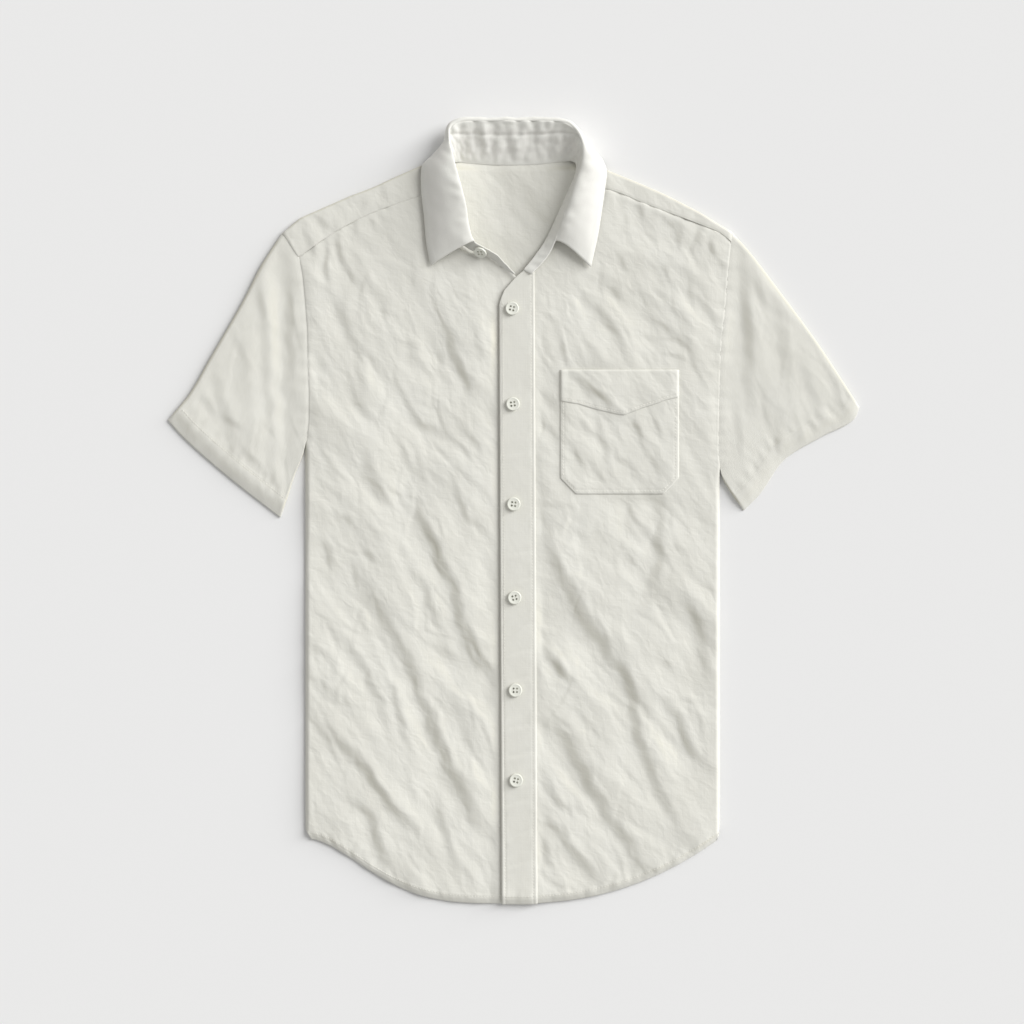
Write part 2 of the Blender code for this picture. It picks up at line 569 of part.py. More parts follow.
def yoke_path(seam, fold, front):
    """A yoke section's corner points: flat on the back, round the fold and on the front."""
    angles = np.radians([45.0, 90.0, 135.0])
    turn = FOLD_RADIUS * (1.0 - np.sin(angles))
    heights = BACK_Z + (FRONT_Z - BACK_Z) * 0.5 * (1.0 - np.cos(angles))
    toward_back = (seam - fold) / np.linalg.norm(seam - fold)
    toward_front = (front - fold) / np.linalg.norm(front - fold)
    path = [np.append(seam, BACK_Z), np.append(fold + toward_back * FOLD_RADIUS, BACK_Z)]
    for k, height in enumerate(heights):
        path.append(np.append(fold + turn[k] * (toward_back if k == 0 else toward_front), height))
    path.append(np.append(fold + toward_front * FOLD_RADIUS, FRONT_Z))
    path.append(np.append(front, FRONT_Z))
    return np.array(path)


def read_path(path, distances):
    """Points at distances along a path of straight stretches."""
    steps = np.linalg.norm(np.diff(path, axis=0), axis=1)
    length = np.concatenate([[0.0], np.cumsum(steps)])
    return np.stack([np.interp(distances, length, path[:, k]) for k in range(3)], axis=-1), length


def add_yoke(collection):
    """The yoke: flat across the upper back, and folded over each shoulder to its front seam."""
    ends = {side: armhole(side) for side in SIGN}
    shares = {}
    for side, points in ends.items():
        run = points[:BACK_SEAM_KNOT + 1][::-1]
        steps = np.linalg.norm(np.diff(run, axis=0), axis=1)
        shares[side] = np.concatenate([[0.0], np.cumsum(steps)]) / steps.sum()
    columns = []
    for fold_x, wrap in YOKE_COLUMNS:
        side = "right" if fold_x < 0 else "left"
        reach = fold_x / ends[side][0, 0]
        seam_x = reach * ends[side][BACK_SEAM_KNOT, 0]
        seam = np.array([seam_x, back_seam_y(seam_x)])
        fold = np.array([fold_x, table_y(SHOULDER_FOLD, fold_x)])
        shift = max(0.0, reach - SHIFT_REACH) / (1.0 - SHIFT_REACH)
        front_x = fold_x + shift * (ARMHOLE[side][0][0] - ends[side][0, 0])
        front = np.array([front_x, front_seam_y(front_x)])
        path = yoke_path(seam, fold, front)
        _, length = read_path(path, [0.0])
        mix = (fold_x - ends["right"][0, 0]) / (ends["left"][0, 0] - ends["right"][0, 0])
        share = (1 - mix) * shares["right"] + mix * shares["left"]
        flat = share * length[1]
        halfway = 0.5 * (length[5] + length[6])
        wrapped = np.concatenate([flat, [length[3], length[5], halfway, length[6]]])
        neck_length = back_neck_y(fold_x) - seam[1]
        plain = np.linspace(0.0, neck_length, len(wrapped))
        section, _ = read_path(path, wrap * wrapped + (1 - wrap) * plain)
        bulge = max(0.0, (reach - BULGE_REACH) / (1.0 - BULGE_REACH))
        if bulge > 0.0:
            run = ends[side][:BACK_SEAM_KNOT + 1][::-1]
            straight = run[0] + shares[side][:, None] * (run[-1] - run[0])
            section[:BACK_SEAM_KNOT, :2] += (bulge * (run - straight))[:BACK_SEAM_KNOT]
        columns.append(section)
    return add_sheet("yoke", np.stack(columns), collection)


# ---- sleeves --------------------------------------------------------------------------------
def sleeve_points(side):
    """A flattened tube: the front layer from the top edge to the underarm, then the back."""
    seam = armhole(side) + (SIGN[side] * SEAM, 0.0)
    seam[0] = SLEEVE_TOP[side][0]
    seam[-1] = SLEEVE_UNDER[side][0]
    steps = np.linalg.norm(np.diff(seam, axis=0), axis=1)
    length = np.concatenate([[0.0], np.cumsum(steps)])
    places = np.sort(np.concatenate([length, [SLEEVE_EDGE, length[-1] - SLEEVE_EDGE]]))
    across = places / length[-1]
    start = np.stack([np.interp(places, length, seam[:, k]) for k in range(2)], axis=-1)
    end = along(CUFF[side], across)
    stations = np.linspace(0.0, 1.0, SLEEVE_STATIONS)
    top = along(SLEEVE_TOP[side], stations)
    under = along(SLEEVE_UNDER[side], stations)
    u = stations[:, None, None]
    v = across[None, :, None]
    corners = ((1 - u) * (1 - v) * start[0] + u * (1 - v) * end[0]
               + (1 - u) * v * start[-1] + u * v * end[-1])
    plan = ((1 - u) * start[None] + u * end[None]
            + (1 - v) * top[:, None] + v * under[:, None] - corners)
    folds = fold_height(SLEEVE_FOLDS[side], plan[..., 0], plan[..., 1])
    away_from_seam = smooth(0.0, SLEEVE_FADE, stations)[:, None]
    height = np.maximum(SLEEVE_Z + folds * away_from_seam, LOWEST_SLEEVE_Z)
    edge = 0.5 * (BACK_Z + SLEEVE_Z)
    height[:, 0] = edge
    height[:, -1] = edge
    front = lift(plan, height)
    back = lift(plan, np.full(plan.shape[:2], BACK_Z))
    ring = np.concatenate([front, back[:, -2:0:-1], front[:, :1]], axis=1)
    return ring


def add_sleeve(side, collection):
    """A sleeve, sewn to the armhole and open at the cuff."""
    points = sleeve_points(side)
    if SIGN[side] < 0:
        points = points[::-1]
    return add_sheet("sleeve_" + side, points.transpose(1, 0, 2), collection, ring=True)


# ---- collar ---------------------------------------------------------------------------------
def collar_sections(first, last, count):
    """Neck seam, roll, pull and edge at even steps between two rows of the collar's table."""
    places = np.linspace(first, last, count)
    rows = np.arange(len(COLLAR))
    neck = spline(rows, [row[0] for row in COLLAR], places)
    roll = spline(rows, [row[1] for row in COLLAR], places)
    low, high = FALL_REACH
    inner = rows[low:high + 1]
    reached = np.clip(places, low, high)
    pull = spline(inner, [COLLAR[row][2] for row in inner], reached)
    edge = spline(inner, [COLLAR[row][3] for row in inner], reached)
    return neck, roll, pull, edge


def add_collar_stand(collection):
    """The collar stand: an upright band round the neck, leaning back at the back neck."""
    neck, roll, _, _ = collar_sections(0, len(COLLAR) - 1, COLLAR_COLUMNS + 5)
    rise = roll - neck
    rise_length = np.linalg.norm(rise, axis=-1, keepdims=True)
    top = roll - rise / rise_length * COLLAR_JOIN
    v = np.linspace(0.0, 1.0, STAND_ROWS + 1)[None, :, None]
    points = neck[:, None] * (1 - v) + top[:, None] * v
    return add_sheet("collar_stand", points[::-1], collection, COLLAR_COLOUR, COLLAR_CLOTH)


def add_collar_fall(collection):
    """The collar fall: it carries on from the stand, rolls over and lies outside it."""
    neck, roll, pull, edge = collar_sections(*FALL_REACH, COLLAR_COLUMNS + 1)
    rise = roll - neck
    rise = rise / np.linalg.norm(rise, axis=-1, keepdims=True)
    start = roll + rise * COLLAR_JOIN
    first = start + rise * ROLL_RISE
    v = np.linspace(0.0, 1.0, FALL_ROWS + 1)[None, :, None] ** FALL_SPACING
    points = ((1 - v) ** 3 * start[:, None] + 3 * (1 - v) ** 2 * v * first[:, None]
              + 3 * (1 - v) * v * v * pull[:, None] + v ** 3 * edge[:, None])
    return add_sheet("collar_fall", points[::-1], collection, COLLAR_COLOUR, COLLAR_CLOTH)


# ---- pocket ---------------------------------------------------------------------------------
def pocket_plan(rows):
    """The pocket's plan: straight sides, with its lower corners cut off."""
    low_x, high_x = POCKET_X
    x = np.array([low_x, low_x + POCKET_CHAMFER_X, 80.0, 98.0, 114.0, 131.0,
                  high_x - POCKET_CHAMFER_X, high_x])
    corner = np.zeros_like(x)
    corner[[0, -1]] = POCKET_CHAMFER_Y
    v = np.linspace(0.0, 1.0, rows)[None, :]
    bottom = (POCKET_BOTTOM_Y + corner)[:, None]
    y = bottom + v * (POCKET_TOP_Y - bottom)
    return np.dstack([np.repeat(x[:, None], rows, axis=1), y])


def add_pocket(collection):
    """The patch pocket, on the wearer's left front."""
    plan = pocket_plan(8)
    return add_sheet("pocket", lift(plan, front_z(plan[..., 0], plan[..., 1]) + LAYER), collection)


def add_pocket_band(collection):
    """The band along the pocket's mouth, with its lower edge in a shallow V."""
    x = np.array([row[0] for row in POCKET_BAND])
    x[0], x[-1] = POCKET_X[0] + 1.0, POCKET_X[1] - 1.0
    v = np.linspace(0.0, 1.0, 4)[None, :]
    bottom = np.array([row[1] for row in POCKET_BAND])[:, None]
    y = bottom + v * (POCKET_TOP_Y - 1.0 - bottom)
    plan = np.dstack([np.repeat(x[:, None], 4, axis=1), y])
    z = front_z(plan[..., 0], plan[..., 1]) + 2 * LAYER
    return add_sheet("pocket_band", lift(plan, z), collection)


# ---- buttons --------------------------------------------------------------------------------
def button_mesh():
    """A turned four-hole button, its underside on z = 0 and its rim round a dished middle."""
    radius = 0.5 * BUTTON_DIAMETER
    # Down the outer side: radius, height.
    profile = [(0.0, 0.65 * BUTTON_THICKNESS), (0.62 * radius, 0.65 * BUTTON_THICKNESS),
               (0.76 * radius, BUTTON_THICKNESS), (0.92 * radius, BUTTON_THICKNESS),
               (radius, 0.6 * BUTTON_THICKNESS), (0.9 * radius, 0.0), (0.0, 0.0)]
    line = bpy.data.meshes.new("button_profile")
    line.from_pydata([(r * MM, 0.0, z * MM) for r, z in profile],
                     [(k, k + 1) for k in range(len(profile) - 1)], [])
    turned = bpy.data.objects.new("button_turned", line)
    bpy.context.scene.collection.objects.link(turned)
    screw = turned.modifiers.new("turn", "SCREW")
    screw.steps = BUTTON_SIDES
    screw.render_steps = BUTTON_SIDES
    screw.use_merge_vertices = True
    screw.merge_threshold = 0.001 * MM

    drills = bmesh.new()
    for k in range(4):
        angle = math.radians(45.0 + 90.0 * k)
        place = Matrix.Translation((HOLE_SPREAD * math.cos(angle) * MM,
                                    HOLE_SPREAD * math.sin(angle) * MM,
                                    0.5 * BUTTON_THICKNESS * MM))
        bmesh.ops.create_cone(drills, cap_ends=True, segments=6, radius1=HOLE_RADIUS * MM,
                              radius2=HOLE_RADIUS * MM, depth=3 * BUTTON_THICKNESS * MM, matrix=place)
    drill_mesh = bpy.data.meshes.new("button_drills")
    drills.to_mesh(drill_mesh)
    drills.free()
    drill = bpy.data.objects.new("button_drills", drill_mesh)
    bpy.context.scene.collection.objects.link(drill)
    cut = turned.modifiers.new("holes", "BOOLEAN")
    cut.object = drill
    cut.operation = "DIFFERENCE"

    bpy.context.view_layer.update()
    graph = bpy.context.evaluated_depsgraph_get()
    mesh = bpy.data.meshes.new_from_object(turned.evaluated_get(graph))
    mesh.name = "button"
    mesh.shade_smooth()
    mesh.set_sharp_from_angle(angle=math.radians(35.0))
    for used in (turned, drill):
        bpy.data.objects.remove(used)
    return mesh


def add_buttons(collection):
    """The buttons down the placket, and the one on the end of the collar stand."""
    mesh = button_mesh()
    top, bottom = BUTTON_Y[0], BUTTON_Y[-1]
    for number, y in enumerate(BUTTON_Y, start=1):
        x = BUTTON_X[0] + (BUTTON_X[1] - BUTTON_X[0]) * (top - y) / (top - bottom)
        button = add_object(f"button_{number}", mesh.copy(), collection, BUTTON_COLOUR, 0.35)
        height = float(placket_z(x, y)) + 0.5 * CLOTH + BUTTON_GAP
        button.location = Vector((x, y, height)) * MM

    place = collar_sections(0, len(COLLAR) - 1, 12 * len(COLLAR))
    face = 0.5 * (place[0] + place[1])
    near = int(np.argmin(np.hypot(face[:, 0] - STAND_BUTTON[0], face[:, 1] - STAND_BUTTON[1])))
    across = place[1][near] - place[0][near]
    along_band = face[near + 1] - face[near - 1]
    normal = Vector(np.cross(across, along_band)).normalized()
    if normal.z < 0:
        normal = -normal
    centre = Vector(face[near]) + normal * (0.5 * COLLAR_CLOTH + BUTTON_GAP)
    button = add_object("button_stand", mesh.copy(), collection, BUTTON_COLOUR, 0.35)
    button.matrix_world = Matrix.Translation(centre * MM) @ (
        Vector((0.0, 0.0, 1.0)).rotation_difference(normal).to_matrix().to_4x4())


def main():
    for old in list(bpy.data.objects):
        bpy.data.objects.remove(old)
    collection = bpy.data.collections.new("crumpled_shirt")
    bpy.context.scene.collection.children.link(collection)
    add_back(collection)
    add_yoke(collection)
    add_front_right(collection)
    add_front_left(collection)
    add_placket(collection)
    add_sleeve("right", collection)
    add_sleeve("left", collection)
    add_collar_stand(collection)
    add_collar_fall(collection)
    add_pocket(collection)
    add_pocket_band(collection)
    add_buttons(collection)


main()
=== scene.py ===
"""The looks of a short-sleeved button-up shirt in crumpled linen and cotton, laid flat.

Frame: the shirt lies on z = 0, +X is the wearer's left, +Y runs to the collar and +Z is up.
Sizes are in millimetres, and MM turns them into metres where a mesh is made. Each sheet of
cloth is a fine grid on the form of its CAD solid, with its creases, puckers and seams added.
"""

import math

import bmesh
import bpy
import numpy as np
from mathutils import Matrix, Vector
from mathutils.bvhtree import BVHTree


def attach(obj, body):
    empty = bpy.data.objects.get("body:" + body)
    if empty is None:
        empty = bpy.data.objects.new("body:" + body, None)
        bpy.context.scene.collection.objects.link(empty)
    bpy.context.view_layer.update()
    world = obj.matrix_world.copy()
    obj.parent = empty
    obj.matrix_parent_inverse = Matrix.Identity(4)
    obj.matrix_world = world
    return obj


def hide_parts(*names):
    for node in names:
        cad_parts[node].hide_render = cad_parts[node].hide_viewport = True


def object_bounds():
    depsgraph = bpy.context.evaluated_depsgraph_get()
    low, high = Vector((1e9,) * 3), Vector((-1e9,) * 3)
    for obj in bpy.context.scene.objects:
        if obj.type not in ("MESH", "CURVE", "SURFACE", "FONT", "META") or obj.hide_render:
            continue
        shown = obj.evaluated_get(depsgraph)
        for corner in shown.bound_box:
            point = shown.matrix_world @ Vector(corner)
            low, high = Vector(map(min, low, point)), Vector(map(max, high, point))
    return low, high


MM = 0.001
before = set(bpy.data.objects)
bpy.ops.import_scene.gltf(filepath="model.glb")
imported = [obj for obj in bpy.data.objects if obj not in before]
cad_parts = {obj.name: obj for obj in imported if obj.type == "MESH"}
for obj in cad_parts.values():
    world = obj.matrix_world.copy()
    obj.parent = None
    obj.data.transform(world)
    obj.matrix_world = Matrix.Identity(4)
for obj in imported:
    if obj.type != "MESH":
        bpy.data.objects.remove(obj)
CAD_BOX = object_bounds()
FINE = 1.0             # spacing of the finest grids near an edge
GRID = 1.9             # spacing of the grid on the fronts, the placket and the sleeves
BACK_GRID = 4.2        # spacing of the grid on the back, which is hardly seen
NOISE_CELLS = 64       # cells of noise before it repeats

# ---- cloth ----
CLOTH = 0.8            # thickness of one layer as it shows
COLLAR_CLOTH = 1.3
SEAM = 0.35            # gap in plan at a sewn edge
TUCK = 0.6             # how far a sleeve goes in under the armhole's edge
LAYER = 1.6            # from the middle of one layer to the next at the opening
POCKET_LAYER = 1.1
# Heights of the middle of each sheet above the floor.
BACK_Z = 0.6
FRONT_Z = 5.6
SLEEVE_Z = 5.0
EDGE_Z = 2.1           # the fronts at the hem and the side seams
LOWEST_FRONT_Z = 2.2   # the deepest that a crease may reach

# ---- body, as the CAD has it ----
BODY_MIDDLE_X = -1.0
SIDE_X = {"right": -208.0, "left": 206.0}
HEM_CORNER = {"right": (-202.0, -328.0), "left": (204.5, -325.0)}
HEM_LOW_Y = -392.0
HEM_RISE = 65.0
HEM_POWER = 2.3
SIDE_ROUND = 3.5       # how far in from the side a front reaches its height
HEM_ROUND = 9.0
HEM_WIDTH = 8.5
STITCH_INSET = 1.6     # how far a hem's stitches lie inside its turned width
SIGN = {"right": -1, "left": 1}
ARMHOLE = {
    "right": [(-215.5, 254.5), (-211.5, 236.5), (-208.5, 206.5), (-206.5, 178.0),
              (-206.0, 150.0), (-204.8, 113.5), (-205.0, 92.0), (-206.5, 73.5)],
    "left": [(217.5, 270.5), (214.5, 236.5), (211.5, 201.5), (207.5, 161.5),
             (205.5, 101.5), (205.0, 65.0), (206.0, 42.5)],
}
ARMHOLE_DEPTH = {"right": 0.35, "left": 0.05}
SHOULDER_POINT = {"right": (-231.0, 279.0), "left": (218.0, 279.5)}
BACK_SEAM_SHARE = 3 / 11       # how far down the armhole the yoke meets the back
BACK_SEAM_MIDDLE_Y = 230.0
SHOULDER_FOLD = [(-231.0, 279.0), (-213.5, 293.5), (-163.5, 315.5), (-139.5, 324.5),
                 (-118.5, 334.5), (-92.0, 346.0), (-62.0, 357.0), (62.0, 357.0),
                 (93.5, 341.5), (126.5, 328.0), (151.5, 317.0), (186.5, 299.0),
                 (218.0, 279.5)]
FRONT_SEAM = {
    "right": [(-215.5, 254.5), (-180.0, 279.0), (-143.5, 298.0), (-91.5, 316.5), (-76.0, 321.5)],
    "left": [(217.5, 270.5), (206.5, 279.0), (190.5, 286.0), (158.5, 298.0), (127.0, 310.0),
             (103.0, 320.0), (92.5, 323.0), (76.0, 326.0)],
}
FOLD_RADIUS = 2.5
YOKE_BACK_SHARES = np.linspace(0.0, 1.0, 48)     # rows on the back, as shares of its length
YOKE_FRONT_SHARES = np.linspace(0.0, 1.0, 24)    # rows from the fold to the front seam
# How far the yoke wraps on to the front at each x of the shoulder fold: x, wrap.
YOKE_WRAP = [(-231.0, 1.0), (-78.0, 1.0), (-73.5, 0.55), (-69.0, 0.15), (-64.0, 0.0),
             (64.0, 0.0), (69.0, 0.15), (73.5, 0.55), (78.0, 1.0), (218.0, 1.0)]
BACK_NECK_Y = 349.5
BACK_NECK_RISE = 3.6
BACK_NECK_HALF = 58.0
NECK_EDGE = {
    "right": [(-76.0, 321.5), (-74.0, 305.0), (-68.0, 283.0), (-57.0, 264.5),
              (-42.0, 257.5), (-28.0, 259.5)],
    "left": [(76.0, 326.0), (63.0, 325.0), (53.0, 314.0), (44.5, 293.0), (35.0, 271.5),
             (25.5, 259.0)],
}
# The left front's top edge on under the placket's end: x, y.
LEFT_RUN_IN = [(20.5, 248.5), (25.5, 259.0)]
SEAM_COLUMNS = 0.62    # share of a front's columns that end on the yoke's seam

# ---- front opening ----
PLACKET_X = (-14.5, 20.5)
PLACKET_SLANT = 3.0
LAP = 2.0
PLACKET_STITCHES = 3.4         # how far the stitches lie inside the placket's edges
UNDERLAP_X = 6.0
UNDERLAP_START = -28.0
UNDERLAP_FALL = (-46.0, -17.0)
PLACKET_TOP = [(-14.5, 207.0), (-12.5, 213.5), (-9.5, 221.0), (-3.0, 228.5), (2.5, 234.5),
               (11.5, 242.0), (14.5, 245.5), (20.5, 250.5)]
RIM = [(-28.0, 259.5), (-20.5, 256.5), (-13.5, 251.0), (-8.5, 244.5), (2.5, 234.5), (6.0, 231.0)]

# ---- chest pocket ----
POCKET_X = (46.7, 165.0)
POCKET_TOP_Y = 141.5
POCKET_BOTTOM_Y = 17.5
POCKET_CHAMFER_X = 15.5
POCKET_CHAMFER_Y = 16.0
POCKET_STITCHES = 3.0
BAND_STITCHES = 2.6
POCKET_BAND = [(46.7, 110.5), (65.5, 107.5), (81.5, 102.5), (103.0, 97.5), (110.5, 96.5),
               (128.5, 103.5), (141.5, 107.5), (152.0, 111.5), (165.0, 114.5)]

# ---- sleeves ----
SLEEVE_TOP = {
    "right": [(-231.5, 278.5), (-253.5, 244.5), (-267.5, 216.5), (-303.5, 153.5),
              (-324.0, 118.0), (-346.0, 91.5)],
    "left": [(218.5, 279.0), (234.5, 261.5), (264.5, 222.5), (304.5, 168.0), (346.0, 104.5)],
}
SLEEVE_UNDER = {
    "right": [(-209.4, 72.5), (-212.6, 54.5), (-219.5, 36.5), (-226.5, 14.5), (-233.5, -5.5)],
    "left": [(208.6, 41.0), (209.5, 34.5), (216.0, 22.0), (223.0, 11.5), (230.5, 1.5)],
}
CUFF = {
    "right": [(-346.0, 91.5), (-331.5, 75.5), (-288.5, 37.5), (-233.5, -5.5)],
    "left": [(346.0, 104.5), (341.5, 93.5), (308.0, 75.0), (271.5, 52.5), (245.5, 16.5),
             (230.5, 1.5)],
}
SLEEVE_EDGE = 4.5      # how far in from its folded edges a sleeve reaches its height
CUFF_WIDTH = 20.0
CUFF_ROUND = 16.0
CUFF_EDGE_Z = 1.9
LOWEST_SLEEVE_Z = 2.7
SLEEVE_LEAN = {"right": -100.0, "left": -75.0}      # the way its small creases run, degrees

# ---- collar: neck seam, roll line, pull and outer edge for each station round the neck ----
COLLAR = [
    ((-0.5, 236.2, 5.8), (1.0, 238.2, 7.0), None, None),
    ((-10.4, 244.2, 6.4), (-8.4, 247.6, 10.0), None, None),
    ((-23.0, 253.6, 6.8), (-20.0, 258.2, 15.0), None, None),
    ((-44.5, 263.0, 7.4), (-39.5, 269.0, 19.0), (-57.5, 262.5, 22.5), (-82.5, 246.5, 9.6)),
    ((-61.0, 276.5, 7.6), (-45.5, 284.0, 22.0), (-69.5, 280.0, 27.5), (-86.8, 268.0, 9.6)),
    ((-68.5, 296.0, 7.6), (-48.0, 302.0, 25.0), (-72.0, 302.0, 28.5), (-89.0, 294.0, 9.6)),
    ((-71.5, 316.0, 7.6), (-52.5, 321.0, 26.5), (-77.0, 322.0, 29.5), (-91.8, 320.0, 9.8)),
    ((-71.5, 332.0, 7.6), (-57.5, 340.0, 26.5), (-82.0, 342.0, 29.0), (-91.2, 344.0, 10.0)),
    ((-67.5, 343.0, 7.4), (-61.5, 357.0, 26.0), (-80.0, 358.0, 22.0), (-84.5, 352.5, 4.2)),
    ((-62.0, 349.0, 6.2), (-64.0, 369.5, 24.5), (-72.0, 371.5, 13.0), (-72.0, 358.0, 1.0)),
    ((-55.0, 350.0, 3.4), (-62.5, 382.0, 21.5), (-67.5, 391.0, 3.0), (-61.0, 358.8, 0.8)),
    ((-44.0, 348.6, 2.6), (-50.0, 388.0, 19.0), (-52.0, 397.5, 1.0), (-48.0, 357.5, 0.8)),
    ((-23.0, 347.2, 2.4), (-25.0, 389.0, 18.0), (-25.0, 398.5, 0.8), (-24.0, 356.5, 0.8)),
    ((0.0, 346.8, 2.4), (0.0, 389.0, 18.0), (0.0, 398.5, 0.8), (0.0, 356.0, 0.8)),
    ((24.0, 347.8, 2.4), (26.0, 389.0, 18.0), (26.0, 398.5, 0.8), (25.0, 356.5, 0.8)),
    ((43.0, 350.0, 2.6), (48.0, 387.5, 20.0), (51.0, 397.0, 1.0), (48.0, 357.5, 0.8)),
    ((53.5, 351.0, 3.4), (60.0, 381.0, 22.5), (66.0, 390.0, 3.0), (62.0, 358.8, 0.8)),
    ((59.5, 350.5, 6.2), (66.5, 369.5, 25.5), (74.0, 372.5, 15.0), (74.0, 358.0, 1.0)),
    ((63.0, 346.0, 7.4), (68.5, 358.5, 27.0), (82.5, 360.5, 24.5), (87.0, 352.5, 4.4)),
    ((61.0, 335.0, 7.6), (67.0, 344.0, 27.0), (86.0, 346.0, 29.0), (92.6, 340.0, 9.8)),
    ((55.5, 322.0, 7.6), (61.0, 326.0, 26.0), (82.0, 328.0, 28.5), (91.0, 322.5, 9.6)),
    ((47.5, 304.0, 7.6), (55.5, 307.0, 24.0), (75.0, 309.0, 27.0), (88.0, 301.5, 9.6)),
    ((40.0, 287.0, 7.6), (48.5, 288.5, 20.5), (67.5, 288.0, 24.0), (84.0, 276.0, 9.6)),
    ((31.5, 270.0, 7.8), (42.0, 270.5, 14.5), (57.0, 264.5, 18.0), (77.0, 244.8, 9.6)),
    ((21.5, 255.5, 8.3), (32.5, 253.5, 11.0), None, None),
    ((10.5, 241.8, 8.5), (17.5, 237.5, 8.8), None, None),
]
FALL_REACH = (3, len(COLLAR) - 3)      # the first and the last row that the fall reaches
ROLL_RISE = 6.0
STAND_SINK = 1.0       # how far the stand's foot sinks into its seam
COLLAR_COLUMNS = 300
STAND_ROWS = 30
FALL_ROWS = 46

# ---- creases, listed one by one ----
# Each row is a crease with a trough on its low side and a softer ridge on its high side:
# half width, height, then its points from the top as x, y.
FRONT_CREASES = [
    # the wearer's right, below the chest
    (10, 2.6, (-152, -76), (-126, -114), (-102, -160), (-82, -216), (-56, -272), (-28, -318)),
    (9, 2.2, (-72, -48), (-60, -74), (-56, -98), (-44, -128), (-24, -162)),
    (7, 1.5, (-106, -58), (-90, -74), (-80, -102), (-72, -118)),
    (8, 1.8, (-178, -122), (-160, -142), (-148, -164), (-134, -190), (-126, -216)),
    (7, 1.5, (-134, -156), (-120, -182), (-112, -210), (-104, -242)),
    (8, 2.3, (-176, -226), (-158, -246), (-134, -278), (-112, -304), (-98, -314)),
    (6, 1.2, (-202, -132), (-182, -152), (-178, -168)),
    (8, 1.7, (-162, -290), (-144, -302), (-138, -326), (-122, -356)),
    (5, 0.9, (-108, -264), (-98, -284)),
    (7, 1.6, (-74, -290), (-72, -314), (-64, -336), (-48, -364)),
    (5, 0.9, (-196, -212), (-182, -236)),
    # the wearer's right, at the chest
    (6, 1.3, (-110, 114), (-94, 88), (-74, 80)),
    (5, 1.1, (-114, 68), (-102, 46), (-94, 36)),
    (4, 0.8, (-102, 76), (-96, 56), (-90, 38)),
    (9, 2.4, (-96, 4), (-88, -16), (-78, -38), (-66, -66)),
    (6, 1.2, (-60, 28), (-46, -6), (-28, -22)),
    (5, 1.1, (-48, 80), (-36, 64), (-30, 52)),
    (4, 0.8, (-48, 128), (-44, 120)),
    (8, 1.6, (-154, 64), (-142, 40), (-130, 4)),
    (6, 1.1, (-172, -2), (-162, -14)),
    (6, 1.1, (-188, -30), (-182, -54)),
    (6, 1.1, (-150, -38), (-140, -54)),
    (5, 0.9, (-114, -34), (-106, -46)),
    # the wearer's right, below the shoulder
    (8, 1.7, (-172, 212), (-168, 184), (-154, 156), (-150, 124)),
    (4, 0.8, (-168, 248), (-160, 226)),
    (5, 0.9, (-134, 206), (-126, 192)),
    (5, 0.9, (-104, 172), (-94, 162)),
    (6, 1.1, (-78, 164), (-70, 140)),
    (8, 1.7, (-68, 180), (-54, 146), (-42, 122)),
    (6, 1.2, (-42, 188), (-36, 164), (-28, 150)),
    # the wearer's left, above the pocket
    (5, 0.9, (96, 224), (108, 212)),
    (8, 1.6, (82, 212), (100, 180), (120, 144)),
    (8, 1.5, (152, 214), (168, 190), (178, 164)),
    (5, 0.9, (174, 232), (182, 208)),
    (5, 0.9, (146, 248), (154, 234)),
    (5, 0.9, (46, 170), (52, 156)),
    # the wearer's left, below the pocket
    (10, 2.5, (30, 0), (40, -44), (60, -86), (84, -126), (110, -166)),
    (5, 1.0, (24, -116), (40, -124)),
    (7, 1.5, (28, -134), (50, -162), (62, -174)),
    (6, 1.1, (62, -20), (76, -26)),
    (6, 1.1, (110, -38), (124, -54)),
    (9, 1.8, (146, 16), (146, -36), (136, -82)),
    (8, 1.6, (178, -96), (184, -116), (192, -156)),
    (5, 1.0, (160, -30), (172, -42)),
    (5, 1.0, (148, -148), (158, -156)),
    (7, 1.4, (38, -148), (52, -166)),
    (10, 2.6, (22, -208), (52, -228), (74, -270), (104, -318), (132, -358)),
    (9, 2.4, (110, -148), (122, -208), (134, -254), (158, -300), (168, -322)),
    (7, 1.6, (150, -188), (168, -210), (174, -232), (192, -256)),
    (7, 1.5, (28, -268), (40, -286), (70, -302)),
    (8, 1.7, (24, -288), (38, -310), (66, -344), (84, -366)),
    (7, 1.4, (24, -324), (38, -356)),
]
SHOULDER_CREASES = [
    (4, 1.1, (-194, 296), (-184, 282)), (5, 1.2, (-207, 276), (-198, 252)),
    (4, 1.3, (-188, 272), (-186, 226)), (4, 1.3, (-176, 280), (-172, 246)),
    (4, 1.0, (-158, 294), (-156, 282)), (4, 0.9, (-142, 294), (-140, 286)),
    (4, 0.9, (-130, 324), (-126, 306)), (4, 0.8, (-150, 312), (-148, 302)),
    (4, 1.0, (128, 306), (127, 294)), (5, 1.1, (110, 300), (114, 276)),
    (5, 1.1, (164, 292), (166, 266)), (5, 1.1, (188, 286), (186, 266)),
    (4, 1.1, (196, 272), (202, 256)), (5, 1.2, (208, 252), (214, 236)),
]
